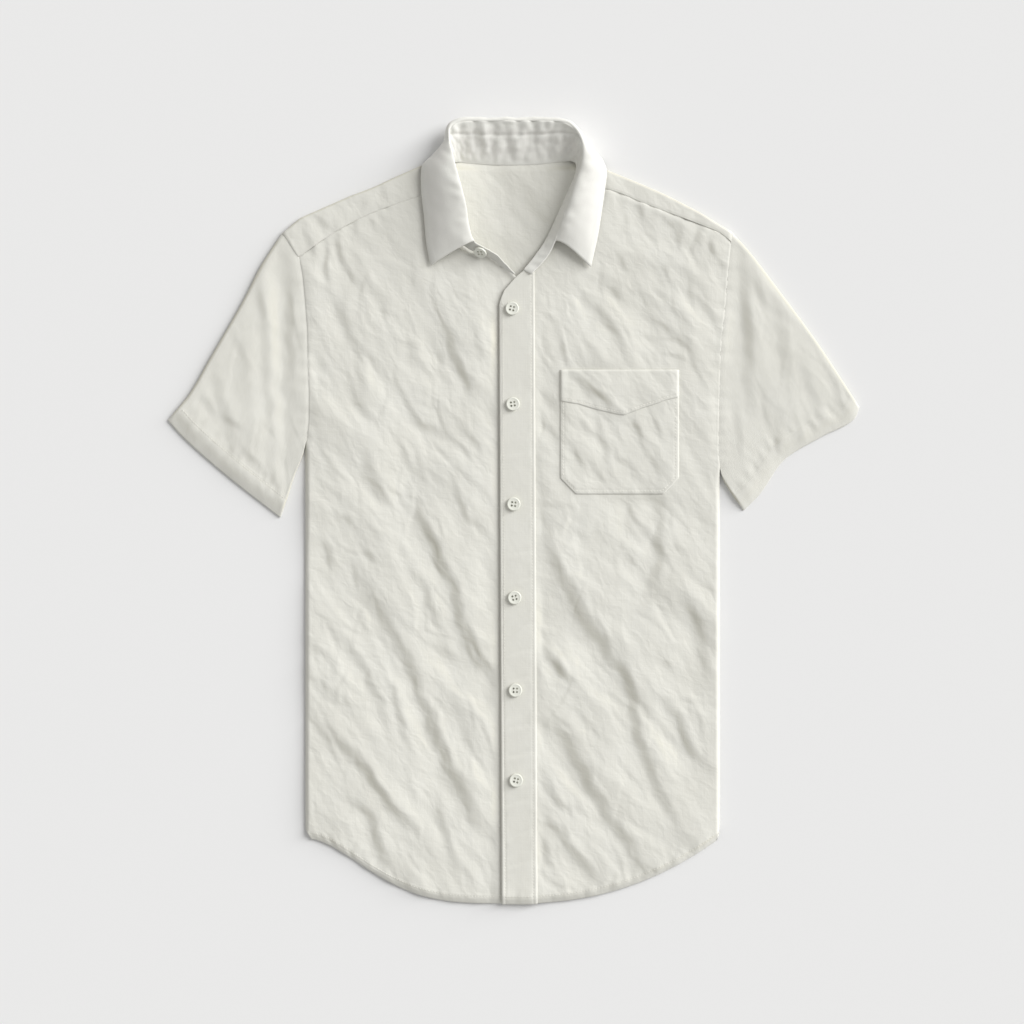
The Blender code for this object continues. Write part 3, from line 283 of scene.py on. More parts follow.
SLEEVE_CREASES = {
    "right": [
        (9, -1.8, (-243, 248), (-238, 150), (-232, 30)), (7, 1.1, (-226, 240), (-222, 130)),
        (10, -1.4, (-262, 200), (-258, 140), (-250, 60)), (9, 1.2, (-300, 140), (-282, 70)),
        (5, 0.9, (-272, 66), (-252, 42)), (5, 0.9, (-292, 96), (-274, 84)),
        (5, 0.9, (-312, 118), (-300, 96)), (6, 1.0, (-256, 224), (-248, 190)),
        (6, 0.9, (-280, 176), (-268, 150)), (5, 0.8, (-240, 40), (-236, 16)),
    ],
    "left": [
        (9, 1.8, (229, 258), (233, 190), (236, 110)), (7, -1.3, (209, 210), (208, 140)),
        (10, 1.5, (264, 205), (270, 165), (276, 126)), (8, 1.1, (288, 150), (306, 95)),
        (5, 0.9, (264, 76), (266, 56)), (5, 0.9, (286, 86), (290, 64)),
        (5, 0.9, (298, 92), (304, 74)), (6, 1.0, (240, 236), (252, 204)),
        (6, 0.9, (222, 100), (228, 60)), (5, 0.8, (250, 110), (256, 84)),
    ],
}
POCKET_CREASES = [
    (6, 1.4, (72, 128), (88, 116), (102, 102)), (5, 1.2, (66, 92), (82, 74)),
    (6, 1.2, (84, 90), (90, 66), (96, 46)),
    (4, 0.8, (120, 92), (130, 70)), (5, 0.9, (100, 60), (116, 44)), (4, 0.7, (60, 64), (70, 44)),
    (4, 0.7, (140, 96), (148, 74)), (5, 0.8, (136, 54), (150, 36)), (4, 0.7, (82, 40), (92, 28)),
]
PLACKET_CREASES = [
    (2, 0.5, (20, -112), (-12, -126)), (2, 0.5, (20, -138), (-8, -146)),
    (2, 0.4, (18, -214), (-10, -220)), (2, 0.6, (20, -240), (-12, -250)),
    (2, 0.4, (16, -290), (-8, -295)), (2, 0.5, (21, -318), (-6, -330)),
    (2, 0.5, (18, -350), (-8, -357)), (2, 0.3, (16, 60), (-8, 54)), (2, 0.4, (18, -40), (-6, -45)),
    (2, 0.4, (20, -68), (2, -72)), (2, 0.4, (18, -166), (-8, -170)), (2, 0.4, (20, -270), (0, -276)),
]


# ---- curves and small functions ----
def smooth(low, high, value):
    """0 up to low, 1 from high, and a soft step between."""
    t = np.clip((np.asarray(value, float) - low) / (high - low), 0.0, 1.0)
    return t * t * (3.0 - 2.0 * t)


def bell(value, middle, width):
    """1 at the middle, falling away to nothing by about twice the width on both sides."""
    return np.exp(-((value - middle) / width) ** 2)


def quarter_round(inset, reach):
    """The height of a rounded edge: 0 at the edge, and 1 from its reach inwards."""
    return np.sin(0.5 * np.pi * np.clip(inset / reach, 0.0, 1.0))


def unit(vectors):
    """Vectors brought to a length of 1."""
    return vectors / np.maximum(np.linalg.norm(vectors, axis=-1, keepdims=True), 1e-9)


def gentle_slopes(knots, values):
    """Slopes at the knots that never carry the curve past its values."""
    widths = np.diff(knots).reshape((-1,) + (1,) * (values.ndim - 1))
    rates = np.diff(values, axis=0) / widths
    before, after = rates[:-1], rates[1:]
    same = before * after > 0
    safe_before = np.where(same, before, 1.0)
    safe_after = np.where(same, after, 1.0)
    mean = 2.0 / (1.0 / safe_before + 1.0 / safe_after)
    return np.concatenate([rates[:1], np.where(same, mean, 0.0), rates[-1:]])


def spline(knots, values, at, slopes=None):
    """The smooth curve through values, given at knots, read at the places `at`."""
    knots = np.asarray(knots, float)
    values = np.asarray(values, float)
    at = np.asarray(at, float)
    if slopes is None:
        slopes = gentle_slopes(knots, values)
    index = np.clip(np.searchsorted(knots, at, side="right") - 1, 0, len(knots) - 2)
    step = knots[index + 1] - knots[index]
    t = (at - knots[index]) / step
    if values.ndim > 1:
        t = t[..., None]
        step = step[..., None]
    return ((1 + 2 * t) * (1 - t) ** 2 * values[index]
            + t * (1 - t) ** 2 * step * slopes[index]
            + t * t * (3 - 2 * t) * values[index + 1]
            - t * t * (1 - t) * step * slopes[index + 1])


def lengths_of(points):
    """The distance run along a line of points, at each of them."""
    steps = np.linalg.norm(np.diff(points, axis=0), axis=-1)
    return np.concatenate([np.zeros((1,) + steps.shape[1:]), np.cumsum(steps, axis=0)])


def read_line(points, distances):
    """Points at distances along a line of straight stretches."""
    length = lengths_of(points)
    return np.stack([np.interp(distances, length, points[:, k])
                     for k in range(points.shape[1])], axis=-1)


def at_shares(line, shares):
    """Points at shares of the length of a line of straight stretches."""
    return read_line(line, np.asarray(shares, float) * lengths_of(line)[-1])


def along(points, fractions):
    """Points at fractions of the length of the smooth curve through a table's points."""
    points = np.asarray(points, float)
    knots = lengths_of(points)
    fine = spline(knots, points, np.linspace(0.0, knots[-1], 40 * len(points)))
    return at_shares(fine, fractions)


def curve(points, count):
    """So many points at even steps along the smooth curve through a table's points."""
    return along(points, np.linspace(0.0, 1.0, count))


def table_y(table, x):
    """The y of a table of x, y points at x."""
    table = np.asarray(table, float)
    order = np.argsort(table[:, 0])
    return np.interp(x, table[order, 0], table[order, 1])


def hem_y(x):
    """The hem's y at x: a shallow curve, with a small S towards the wearer's right side."""
    t = np.abs(np.asarray(x, float) - BODY_MIDDLE_X) / (SIDE_X["left"] - BODY_MIDDLE_X)
    s_curve = t ** 4 * (5.0 - 4.0 * t)
    rise = np.where(np.asarray(x) < BODY_MIDDLE_X, s_curve, t ** HEM_POWER)
    return HEM_LOW_Y + HEM_RISE * rise


def cells(x, y, size):
    """Which cell of a lattice each point is in, as column and row, and where in the cell."""
    column, row = np.floor(x / size).astype(int), np.floor(y / size).astype(int)
    return column, row, x / size - column, y / size - row


def noise(x, y, size, seed):
    """Smooth gradient noise, from about -1 to 1, with bumps about `size` across."""
    turn = np.random.default_rng(seed).uniform(0.0, 2.0 * np.pi, (NOISE_CELLS, NOISE_CELLS))
    column, row, in_x, in_y = cells(x, y, size)

    def corner(i, j):
        angle = turn[(column + i) % NOISE_CELLS, (row + j) % NOISE_CELLS]
        return np.cos(angle) * (in_x - i) + np.sin(angle) * (in_y - j)

    mix_x = in_x ** 3 * (in_x * (6 * in_x - 15) + 10)
    mix_y = in_y ** 3 * (in_y * (6 * in_y - 15) + 10)
    low = corner(0, 0) * (1 - mix_x) + corner(1, 0) * mix_x
    high = corner(0, 1) * (1 - mix_x) + corner(1, 1) * mix_x
    return 1.6 * (low * (1 - mix_y) + high * mix_y)


def from_line(x, y, line):
    """Each point's distance from a line, how far to its side, and how far on it lies, 0 to 1."""
    nearest = np.full(x.shape, np.inf)
    side = np.zeros_like(x)
    place = np.zeros_like(x)
    last = len(line) - 1
    for k in range(last):
        run = line[k + 1] - line[k]
        length = np.hypot(*run)
        t = ((x - line[k][0]) * run[0] + (y - line[k][1]) * run[1]) / length ** 2
        t = np.clip(t, 0.0, 1.0)
        off_x = x - (line[k][0] + t * run[0])
        off_y = y - (line[k][1] + t * run[1])
        away = np.hypot(off_x, off_y)
        closer = away < nearest
        nearest = np.where(closer, away, nearest)
        side = np.where(closer, (run[0] * off_y - run[1] * off_x) / length, side)
        place = np.where(closer, (k + t) / last, place)
    return nearest, side, place


# The section across a crease, from its low side to its high one: place in half widths, and
# height as a share. The steep stretch in the middle is the side that falls into shade.
CREASE_SECTION = [(-4.4, 0.0), (-2.7, -0.36), (-1.5, -0.80), (-0.85, -0.95), (-0.66, -0.93),
                  (-0.54, -0.84), (0.60, 0.92), (0.70, 0.99), (0.8, 1.0), (1.6, 0.80),
                  (3.2, 0.40), (6.0, 0.0)]
CREASE_HEIGHT = 0.64


def crease_height(creases, x, y):
    """How far a table of creases lifts or sinks a sheet at x, y."""
    total = np.zeros_like(x)
    places, heights = np.transpose(CREASE_SECTION)
    for number, (half_width, height, *points) in enumerate(creases):
        line = curve(points, 6 * len(points))
        reach = places[-1] * half_width
        near = ((x > line[:, 0].min() - reach) & (x < line[:, 0].max() + reach)
                & (y > line[:, 1].min() - reach) & (y < line[:, 1].max() + reach))
        if not near.any():
            continue
        nearest, side, place = from_line(x[near], y[near], line)
        past = np.clip(nearest ** 2 - side ** 2, 0.0, None)
        run = place * lengths_of(line)[-1]
        lane = np.full_like(run, 37.0 * number)     # each crease reads the noise elsewhere
        side = side + (0.25 * half_width + 0.9) * noise(run, lane, 19.0, 31)
        ends = np.sin(np.pi * np.clip(0.05 + 0.9 * place, 0.0, 1.0)) ** 0.6
        ends = ends * (1.0 + 0.25 * noise(run, lane, 34.0, 32))
        section = spline(places, heights, np.clip(side / half_width, places[0], places[-1]))
        fade = np.exp(-past / (2.0 * half_width) ** 2)
        total[near] += CREASE_HEIGHT * height * ends * section * fade
    return total


def scattered(count, seed, box, lean, spread):
    """Small creases strewn over a box, most of them leaning one way."""
    rng = np.random.default_rng(seed)
    creases = []
    for _ in range(count):
        middle = np.array([rng.uniform(box[0], box[2]), rng.uniform(box[1], box[3])])
        angle = lean + spread * rng.normal()
        half = rng.uniform(7.0, 30.0)
        bend = rng.uniform(-0.3, 0.3) * half
        run = np.array([math.cos(angle), math.sin(angle)])
        side = np.array([-run[1], run[0]])
        width = rng.uniform(0.9, 2.8)
        height = width * rng.uniform(0.07, 0.20) * rng.choice([-1.0, 1.0], p=[0.3, 0.7])
        creases.append((width, height, middle - half * run, middle + bend * side,
                        middle + half * run))
    return creases


def facets(x, y, size, seed):
    """Flat facets between random heights on a lattice of triangles, from -1 to 1."""
    levels = np.random.default_rng(seed).uniform(-1.0, 1.0, (NOISE_CELLS, NOISE_CELLS))
    column, row, in_x, in_y = cells(x, y, size)

    def corner(i, j):
        return levels[(column + i) % NOISE_CELLS, (row + j) % NOISE_CELLS]

    middle = np.where(in_y > in_x, corner(0, 1), corner(1, 0))
    far, near = np.maximum(in_x, in_y), np.minimum(in_x, in_y)
    return corner(0, 0) + (middle - corner(0, 0)) * far + (corner(1, 1) - middle) * near


def crumple(x, y, lean, size, seed):
    """Facets of several sizes in all the cloth, drawn out along one direction."""
    run = (x * math.cos(lean) + y * math.sin(lean)) / 2.3
    across = y * math.cos(lean) - x * math.sin(lean)
    bent_run = run + 0.45 * size * noise(run, across, 1.7 * size, seed)
    bent_across = across + 0.45 * size * noise(run, across, 1.7 * size, seed + 1)
    total = np.zeros_like(x)
    for k, (share, scale) in enumerate([(1.0, 1.0), (0.5, 0.52), (0.22, 0.3)]):
        # Four readings a little apart round the edges between the facets.
        soft = 0.03 * size
        for off_x, off_y in ((soft, 0.0), (-soft, 0.0), (0.0, soft), (0.0, -soft)):
            total += 0.25 * share * facets(bent_run + off_x, bent_across + off_y,
                                           size * scale, seed + 2 + k)
    patches = 0.8 + 0.6 * noise(x, y, 85.0, seed + 7)
    return total * patches


# ---- the forms of the sheets ----
LEAN = math.radians(-58.0)     # the way most of the creases run
SMALL_CREASES = (scattered(230, 11, (-205, -385, -24, 300), LEAN, 0.45)
                 + scattered(230, 12, (24, -385, 204, 300), LEAN, 0.45))


def calm(x, y):
    """1 where the front creases freely, 0 where a layer lies on it."""
    placket = smooth(17.0, 27.0, np.abs(x - 0.5 * sum(PLACKET_X)))
    neck = smooth(1.0, 1.3, np.hypot(x / 100.0, (y - 300.0) / 72.0))
    pocket_x = np.maximum(POCKET_X[0] - x, x - POCKET_X[1])
    pocket_y = np.maximum(POCKET_BOTTOM_Y - y, y - POCKET_TOP_Y)
    pocket = smooth(-4.0, 12.0, np.maximum(pocket_x, pocket_y))
    return placket * (0.25 + 0.75 * neck) * (0.35 + 0.65 * pocket)


def front_relief(x, y):
    """The creases of both fronts at x, y."""
    total = crease_height(FRONT_CREASES + SHOULDER_CREASES, x, y)
    total += crease_height(SMALL_CREASES, x, y)
    return total + 1.8 * crumple(x, y, LEAN, 33.0, 40) + noise(x, y, 62.0, 90)


def front_z(x, y):
    """The height of the middle of a front's sheet at x, y."""
    x = np.asarray(x, float)
    y = np.asarray(y, float)
    height = FRONT_Z + front_relief(x, y) * calm(x, y)
    height = LOWEST_FRONT_Z + np.logaddexp(0.0, 2.5 * (height - LOWEST_FRONT_Z)) / 2.5
    sides = np.minimum(x - SIDE_X["right"], SIDE_X["left"] - x)
    armhole_end = np.where(x < 0, ARMHOLE["right"][-1][1], ARMHOLE["left"][-1][1])
    below_arm = smooth(armhole_end + 4.0, armhole_end - 20.0, y)
    side = 1.0 - below_arm * (1.0 - quarter_round(sides, SIDE_ROUND))
    hem = quarter_round(y - hem_y(x), HEM_ROUND)
    return EDGE_Z + (height - EDGE_Z) * np.minimum(side, hem)


def coons(bottom, top, left, right, u, v):
    """Plan points that fill four edges; bottom and top run from left to right."""
    u = np.asarray(u)[:, None, None]
    v = np.asarray(v)[None, :, None]
    corners = ((1 - u) * (1 - v) * bottom[0] + u * (1 - v) * bottom[-1]
               + (1 - u) * v * top[0] + u * v * top[-1])
    return ((1 - v) * bottom[:, None] + v * top[:, None]
            + (1 - u) * left[None] + u * right[None] - corners)


def spaced(length, step, fine_start=0.0, fine_end=0.0):
    """Fractions of a length at even steps, with finer steps for a stretch at each end."""
    start = np.arange(0.0, fine_start, FINE)
    end = length - np.arange(0.0, fine_end, FINE)[::-1]
    low = fine_start
    high = length - fine_end
    middle = np.linspace(low, high, max(2, round((high - low) / step)) + 1)
    parts = [start, middle[:-1] if fine_end > 0 else middle, end if fine_end > 0 else []]
    return np.concatenate(parts) / length


def from_edge(points, edge):
    """A grid's distances from one of its edges, and places along that edge."""
    grid = points if edge in ("bottom", "top") else points.transpose(1, 0, 2)
    flip = edge in ("top", "last")
    if flip:
        grid = grid[:, ::-1]
    distance = lengths_of(grid.transpose(1, 0, 2)).T
    place = np.broadcast_to(lengths_of(grid[:, 0])[:, None], distance.shape)
    if flip:
        distance = distance[:, ::-1]
    if edge in ("first", "last"):
        return distance.T, place.T
    return distance, place


def grid_uv(points):
    """A grid's own lengths along and across, for the weave."""
    distance, place = from_edge(points, "bottom")
    return np.dstack([place, distance])


def hem_height(distance, place, width, seed, step=0.35):
    """How a turned, stitched edge stands: thick as far as its stitches, with puckers along them."""
    band = step * (1 - smooth(width - 0.8, width + 0.8, distance))
    groove = -0.28 * bell(distance, width - STITCH_INSET, 1.0)
    pucker = 0.55 * noise(place, 0.3 * distance, 8.5, seed) * bell(distance, width, 7.0)
    slow = 0.9 * noise(place, 0.2 * distance, 19.0, seed + 1) * bell(distance, 0.0, 17.0)
    return band + groove + pucker + slow


def stitch_height(distance, place, inset, seed, depth=0.3):
    """A line of stitches near an edge: a shallow groove with small puckers."""
    pucker = 0.22 * noise(place, 0.4 * distance, 6.0, seed) * bell(distance, inset, 3.0)
    return pucker - depth * bell(distance, inset, 0.9)


def seam_height(x, y, line, depth, width=2.4, seed=5):
    """The valley at a sewn seam, with puckers that run away from it."""
    away, _, place = from_line(x, y, line)
    run = place * lengths_of(line)[-1]
    puckers = 0.5 * noise(run, 0.25 * away, 9.0, seed) * bell(away, 0.0, 11.0)
    return puckers - depth * bell(away, 0.0, width)


# ---- making meshes ----
SHADE_TILTS = (0.08, 0.55)      # the tilts between which a point takes its painted shade
SHADE_INSET = (3.0, 12.0)       # how far inside an edge that painted shade starts, and is whole
# A stitch is a short thread, thickest in its middle: share of its length, its radius, its rise.
STITCH_PROFILE = [(-0.5, 0.25, -0.6), (-0.2, 1.0, 0.3), (0.2, 1.0, 0.3), (0.5, 0.25, -0.6)]
STITCH_SIDES = 5
STITCH_PITCH = 3.1
STITCH_LENGTH = 2.3
STITCH_RADIUS = 0.26


def grid_normals(points, ring=False):
    """The unit normals of a grid of points[column, row]."""
    if ring:
        wrapped = np.concatenate([points[-1:], points, points[:1]])
        along_columns = wrapped[2:] - wrapped[:-2]
    else:
        along_columns = np.gradient(points, axis=0)
    return unit(np.cross(along_columns, np.gradient(points, axis=1)))


def edge_loops(columns, rows, ring):
    """The grid's open edges, each as its points and the points just inside them."""
    index = np.arange(columns * rows).reshape(columns, rows)
    if ring:
        return [(index[:, 0], index[:, 1]), (index[::-1, -1], index[::-1, -2])]
    outer = np.concatenate([index[:-1, 0], index[-1, :-1], index[:0:-1, -1], index[0, :0:-1]])
    inner = np.concatenate([index[:-1, 1], index[-2, :-1], index[:0:-1, -2], index[1, :0:-1]])
    return [(outer, inner)]


def grid_quads(columns, rows, ring):
    """The faces of one side of a grid."""
    index = np.arange(columns * rows).reshape(columns, rows)
    following = np.roll(index, -1, axis=0) if ring else index[1:]
    here = index if ring else index[:-1]
    quads = np.stack([here[:, :-1], following[:, :-1], following[:, 1:], here[:, 1:]], -1)
    return quads.reshape(-1, 4)


def facing_out(vertices, faces):
    """The faces of a closed mesh, turned over if they face inwards."""
    corner = vertices[faces]
    volume = np.einsum("ij,ij->i", corner[:, 0], np.cross(corner[:, 1], corner[:, 2])).sum()
    return faces[:, ::-1] if volume < 0 else faces


def painted_shade_share(points, normals, ring):
    """How much painted shade each point of a grid takes: more where it tilts, none at edges."""
    tilt = np.sqrt(np.clip(1.0 - normals[..., 2] ** 2, 0.0, 1.0))
    edges = ("bottom", "top") if ring else ("bottom", "top", "first", "last")
    inset = np.minimum.reduce([from_edge(points, edge)[0] for edge in edges])
    return smooth(*SHADE_TILTS, tilt) * smooth(*SHADE_INSET, inset)


def thick_sheet(name, node, points, thickness, finish, ring=False, uv=None):
    """A sheet of cloth from the grid of its middle, with rounded edges all round."""
    columns, rows = points.shape[:2]
    count = columns * rows
    normals = grid_normals(points, ring)
    flat = points.reshape(-1, 3)
    lifted = (0.5 * thickness * normals).reshape(-1, 3)
    uv = (points[..., :2] if uv is None else uv).reshape(-1, 2)
    vertices = [flat + lifted, flat - lifted]
    uvs = [uv, uv]
    quads = grid_quads(columns, rows, ring)
    faces = [quads, quads[:, ::-1] + count]
    made = 2 * count
    for outer, inner in edge_loops(columns, rows, ring):
        vertices.append(flat[outer] + 0.5 * thickness * unit(flat[outer] - flat[inner]))
        uvs.append(uv[outer])
        middle = made + np.arange(len(outer))
        after, after_middle = np.roll(outer, -1), np.roll(middle, -1)
        faces.append(np.stack([middle, after_middle, after, outer], -1))
        faces.append(np.stack([outer + count, after + count, after_middle, middle], -1))
        made += len(outer)
    vertices = np.concatenate(vertices) * MM
    faces = facing_out(vertices, np.concatenate(faces))
    uvs = np.concatenate(uvs) * MM
    mesh = bpy.data.meshes.new(name)
    mesh.from_pydata(vertices, [], faces)
    mesh.uv_layers.new(name="cloth").data.foreach_set("uv", uvs[faces.ravel()].ravel())
    mesh.shade_smooth()
    # Painted shade: the crease attribute carries each point's share of a deeper, warmer colour, more
    # where the cloth tilts.
    tone = np.zeros(len(vertices))
    tone[:2 * count] = np.tile(painted_shade_share(points, normals, ring).ravel(), 2)
    mesh.attributes.new("crease", "FLOAT", "POINT").data.foreach_set("value", tone)
    return add_piece(name, mesh, finish, node)


def put(name, data):
    """A new object in the scene."""
    made = bpy.data.objects.new(name, data)
    bpy.context.scene.collection.objects.link(made)
    return made


def add_piece(name, data, finish, node=None):
    """An object of the shirt: its finish, its body and the CAD node it stands for."""
    made = put(name, data)
    data.materials.append(finish)
    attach(made, "root")
    if node is not None:
        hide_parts(node)
    return made


def stitch_faces(first):
    """The faces of one stitch, whose points are numbered from first."""
    rings = [[first + ring * STITCH_SIDES + k for k in range(STITCH_SIDES)]
             for ring in range(len(STITCH_PROFILE))]
    faces = []
    for low, high in zip(rings[:-1], rings[1:]):
        for k in range(STITCH_SIDES):
            after = (k + 1) % STITCH_SIDES
            faces.append((low[k], low[after], high[after], high[k]))
    return faces + [tuple(rings[0][::-1]), tuple(rings[-1])]


def stitch_points(middle, ahead, across, up):
    """The points of one stitch, ring by ring."""
    points = []
    for share, thick, rise in STITCH_PROFILE:
        for k in range(STITCH_SIDES):
            angle = 2.0 * math.pi * k / STITCH_SIDES
            off = thick * math.cos(angle) * across + (thick * math.sin(angle) + rise) * up
            points.append(middle + share * STITCH_LENGTH * ahead + STITCH_RADIUS * off)
    return points


def sew(name, lines, finish):
    """Stitches along lines of points, each line with its normals; all joined in one piece."""
    vertices, faces = [], []
    for points, normals in lines:
        distance = lengths_of(points)
        places = np.arange(STITCH_PITCH, distance[-1] - 0.5 * STITCH_PITCH, STITCH_PITCH)
        centre = read_line(points, places)
        ahead = unit(read_line(points, places + 0.5) - read_line(points, places - 0.5))
        up = np.stack([np.interp(places, distance, normals[:, k]) for k in range(3)], axis=-1)
        across = unit(np.cross(up, ahead))
        up = np.cross(ahead, across)
        for stitch in zip(centre, ahead, across, up):
            faces += stitch_faces(len(vertices))
            vertices += stitch_points(*stitch)
    mesh = bpy.data.meshes.new(name)
    mesh.from_pydata(np.array(vertices) * MM, [], faces)
    shape = bmesh.new()
    shape.from_mesh(mesh)
    bmesh.ops.recalc_face_normals(shape, faces=shape.faces)
    shape.to_mesh(mesh)
    shape.free()
    mesh.shade_smooth()
    add_piece(name, mesh, finish)


def line_inside(points, inset, thickness):
    """The line at a distance inside a grid's last edge, on its face, with the normals."""
    distance, _ = from_edge(points, "last")
    reach = distance.T[:, ::-1]

    def read(grid):
        grid = grid.transpose(1, 0, 2)[:, ::-1]
        return np.array([[np.interp(inset, reach[i], grid[i, :, k]) for k in range(3)]
                         for i in range(len(grid))])

    up = read(grid_normals(points))
    return read(points) + up * 0.5 * thickness, up


# ---- body ----
def armhole(side, fractions):
    """Plan points down the armhole, from the yoke's front seam to the underarm."""
    return along(ARMHOLE[side], fractions)


def near_armhole(side, x, y):
    """1 on the armhole's seam, fading to 0 on both sides of it."""
    away, _, _ = from_line(x, y, curve(ARMHOLE[side], 24))
    return bell(away, 0.0, 8.0)


def armhole_height(side, x, y):
    """The seam at the armhole, which the front and the sleeve share."""
    return seam_height(x, y, curve(ARMHOLE[side], 24), ARMHOLE_DEPTH[side], seed=303)


def side_line(side, v):
    """The side of a front at fractions of its height: the side seam, then the armhole."""
    corner = HEM_CORNER[side]
    underarm = ARMHOLE[side][-1]
    seam = [corner, (SIDE_X[side], corner[1] + 12.0), (SIDE_X[side], underarm[1] - 8.0), underarm]
    whole = np.vstack([curve(seam, 300), curve(ARMHOLE[side], 200)[-2::-1]])
    return at_shares(whole, v)


def front_top(side, u):
    """The top edge of a front, from the armhole along the yoke's seam and down the neck."""
    on_seam = round(SEAM_COLUMNS * len(u))
    seam = curve(FRONT_SEAM[side], 120) - (0.0, SEAM)
    neck = curve(NECK_EDGE[side], 120)
    return np.vstack([at_shares(seam, np.linspace(0.0, 1.0, on_seam)),
                      at_shares(neck, np.linspace(0.0, 1.0, len(u) - on_seam + 1)[1:])])


def slant(y):
    """How far the placket has drifted to +X at y."""
    high = PLACKET_TOP[-1][1]
    return PLACKET_SLANT * np.clip((high - y) / (high - HEM_LOW_Y), 0, 1)


def strip_columns(xs, tops, v):
    """Upright columns of plan points from the hem to their tops, drifting with the placket."""
    columns = []
    for x, top in zip(xs, tops):
        y = hem_y(x) + v * (top - hem_y(x))
        columns.append(np.stack([x + slant(y), y], axis=-1))
    return np.stack(columns)


FRONT_V = spaced(640.0, GRID, fine_start=16.0)
FRONT_U = spaced(190.0, GRID, fine_start=6.0)


def front_plan(side, strip_xs, strip_tops):
    """A front's plan: a panel from the side to its strip, and the strip beside the opening."""
    left = side_line(side, FRONT_V)
    strip = strip_columns(strip_xs, strip_tops, FRONT_V)
    top = front_top(side, FRONT_U)
    top[-1] = strip[0, -1]
    bottom_x = left[0, 0] + FRONT_U * (strip[0, 0, 0] - left[0, 0])
    bottom = np.stack([bottom_x, hem_y(bottom_x)], axis=-1)
    bottom[0] = left[0]
    left[-1] = top[0]
    panel = coons(bottom, top, left, strip[0], FRONT_U, FRONT_V)
    return np.concatenate([panel, strip[1:]])


def lift(plan, z):
    """Points in plan with their heights added."""
    return np.dstack([plan, z])


def above_hem(x, y):
    """0 at the hem, where the layers close up, and 1 from well above it."""
    return smooth(0.0, 40.0, y - hem_y(x))


def front_details(side, plan, z):
    """A front's heights with its hem, its armhole and its shoulder seam worked in."""
    seed = 300 if side == "right" else 320
    z = z + hem_height(*from_edge(plan, "bottom"), HEM_WIDTH, seed)
    x, y = plan[..., 0], plan[..., 1]
    above_underarm = smooth(0.0, 14.0, y - ARMHOLE[side][-1][1])
    z = z + (SLEEVE_Z - z) * near_armhole(side, x, y) * above_underarm
    z = z + armhole_height(side, x, y)
    return z + seam_height(x, y, curve(FRONT_SEAM[side], 16), 0.6, 1.5, seed + 4)


def add_front_right(finish):
    """The wearer's right front, which dips under the placket and turns up at the V."""
    xs = np.concatenate([np.arange(UNDERLAP_START, UNDERLAP_X - 1.5, 1.5), [UNDERLAP_X]])
    plan = front_plan("right", xs, table_y(RIM, xs))
    x, y = plan[..., 0], plan[..., 1]
    under = smooth(UNDERLAP_FALL[0], UNDERLAP_FALL[1], x - slant(y))
    z = front_details("right", plan, front_z(x, y))
    z = z - LAYER * under * above_hem(x, y)
    away, _, place = from_line(x, y, np.array(RIM, float))
    z = z + 2.2 * bell(away, 0.0, 3.5) * smooth(0.45, 0.7, place) * smooth(1.0, 0.85, place)
    points = lift(plan, np.maximum(z, EDGE_Z))
    return thick_sheet("right_front_cloth", "front_right", points, CLOTH, finish), points


def add_front_left(finish):
    """The wearer's left front, on top at the opening."""
    low, high = PLACKET_X
    xs = np.concatenate([np.arange(high + 5.0, low + LAP + 1.5, -1.5), [low + LAP]])
    tops = np.where(xs > high, table_y(LEFT_RUN_IN, xs), table_y(PLACKET_TOP, xs) - LAP)
    plan = front_plan("left", xs, tops)
    x, y = plan[..., 0], plan[..., 1]
    over = smooth(40.0, 18.0, x) * (1.0 - above_hem(x, y))
    z = front_details("left", plan, front_z(x, y)) + LAYER * over
    points = lift(plan, z)[::-1]
    return thick_sheet("left_front_cloth", "front_left", points, CLOTH, finish), points


def placket_z(x, y):
    """The height of the middle of the placket's sheet."""
    relief = crease_height(PLACKET_CREASES, x, y) + 0.2 * crumple(x, y, 0.2, 16.0, 60)
    return front_z(x, y) + LAYER * (2.0 - above_hem(x, y)) - 0.3 + relief


def add_placket(finish):
    """The placket: a straight band with a line of stitches along each edge."""
    xs = np.linspace(*PLACKET_X, 37)
    v = spaced(640.0, GRID, fine_start=16.0, fine_end=8.0)
    plan = strip_columns(xs, table_y(PLACKET_TOP, xs), v)
    plan[:, 0, 1] -= 0.6
    x, y = plan[..., 0], plan[..., 1]
    z = placket_z(x, np.maximum(y, hem_y(x)))
    for edge, seed, drop, ridge in (("first", 401, 0.3, 0.45), ("last", 402, 0.45, 0.1)):
        distance, place = from_edge(plan, edge)
        z = z + stitch_height(distance, place, PLACKET_STITCHES, seed, 0.35)
        z = z + ridge * bell(distance, 1.5, 0.9) - drop * bell(distance, 0.0, 1.1)
    points = lift(plan, z + hem_height(*from_edge(plan, "bottom"), HEM_WIDTH, 403, 0.3))
    return thick_sheet("placket_cloth", "placket", points, 1.0, finish), points


def back_seam_y(x):
    """Where the yoke meets the back panel."""
    right = armhole("right", [BACK_SEAM_SHARE])[0]
    left = armhole("left", [BACK_SEAM_SHARE])[0]
    middle = (BODY_MIDDLE_X, BACK_SEAM_MIDDLE_Y)
    return spline([right[0], middle[0], left[0]], [right[1], middle[1], left[1]], x)


def back_side(side, v):
    """The side of the back panel at fractions of its height, from the hem to the yoke."""
    line = side_line(side, np.linspace(0.0, 1.0, 900))
    seam = armhole(side, [BACK_SEAM_SHARE])
    end = int(np.argmin(np.linalg.norm(line - seam, axis=1)))
    return at_shares(np.vstack([line[:end], seam]), v)


def back_relief(x, y):
    """The back panel's creases: its own crumple, and faint ones like the fronts', mirrored."""
    traces = [(half_width, height, *[(-a - 4, b - 12) for a, b in line])
              for half_width, height, *line in FRONT_CREASES]
    return crumple(x, y, math.pi - LEAN, 34.0, 70) + 0.25 + 0.5 * crease_height(traces, x, y)


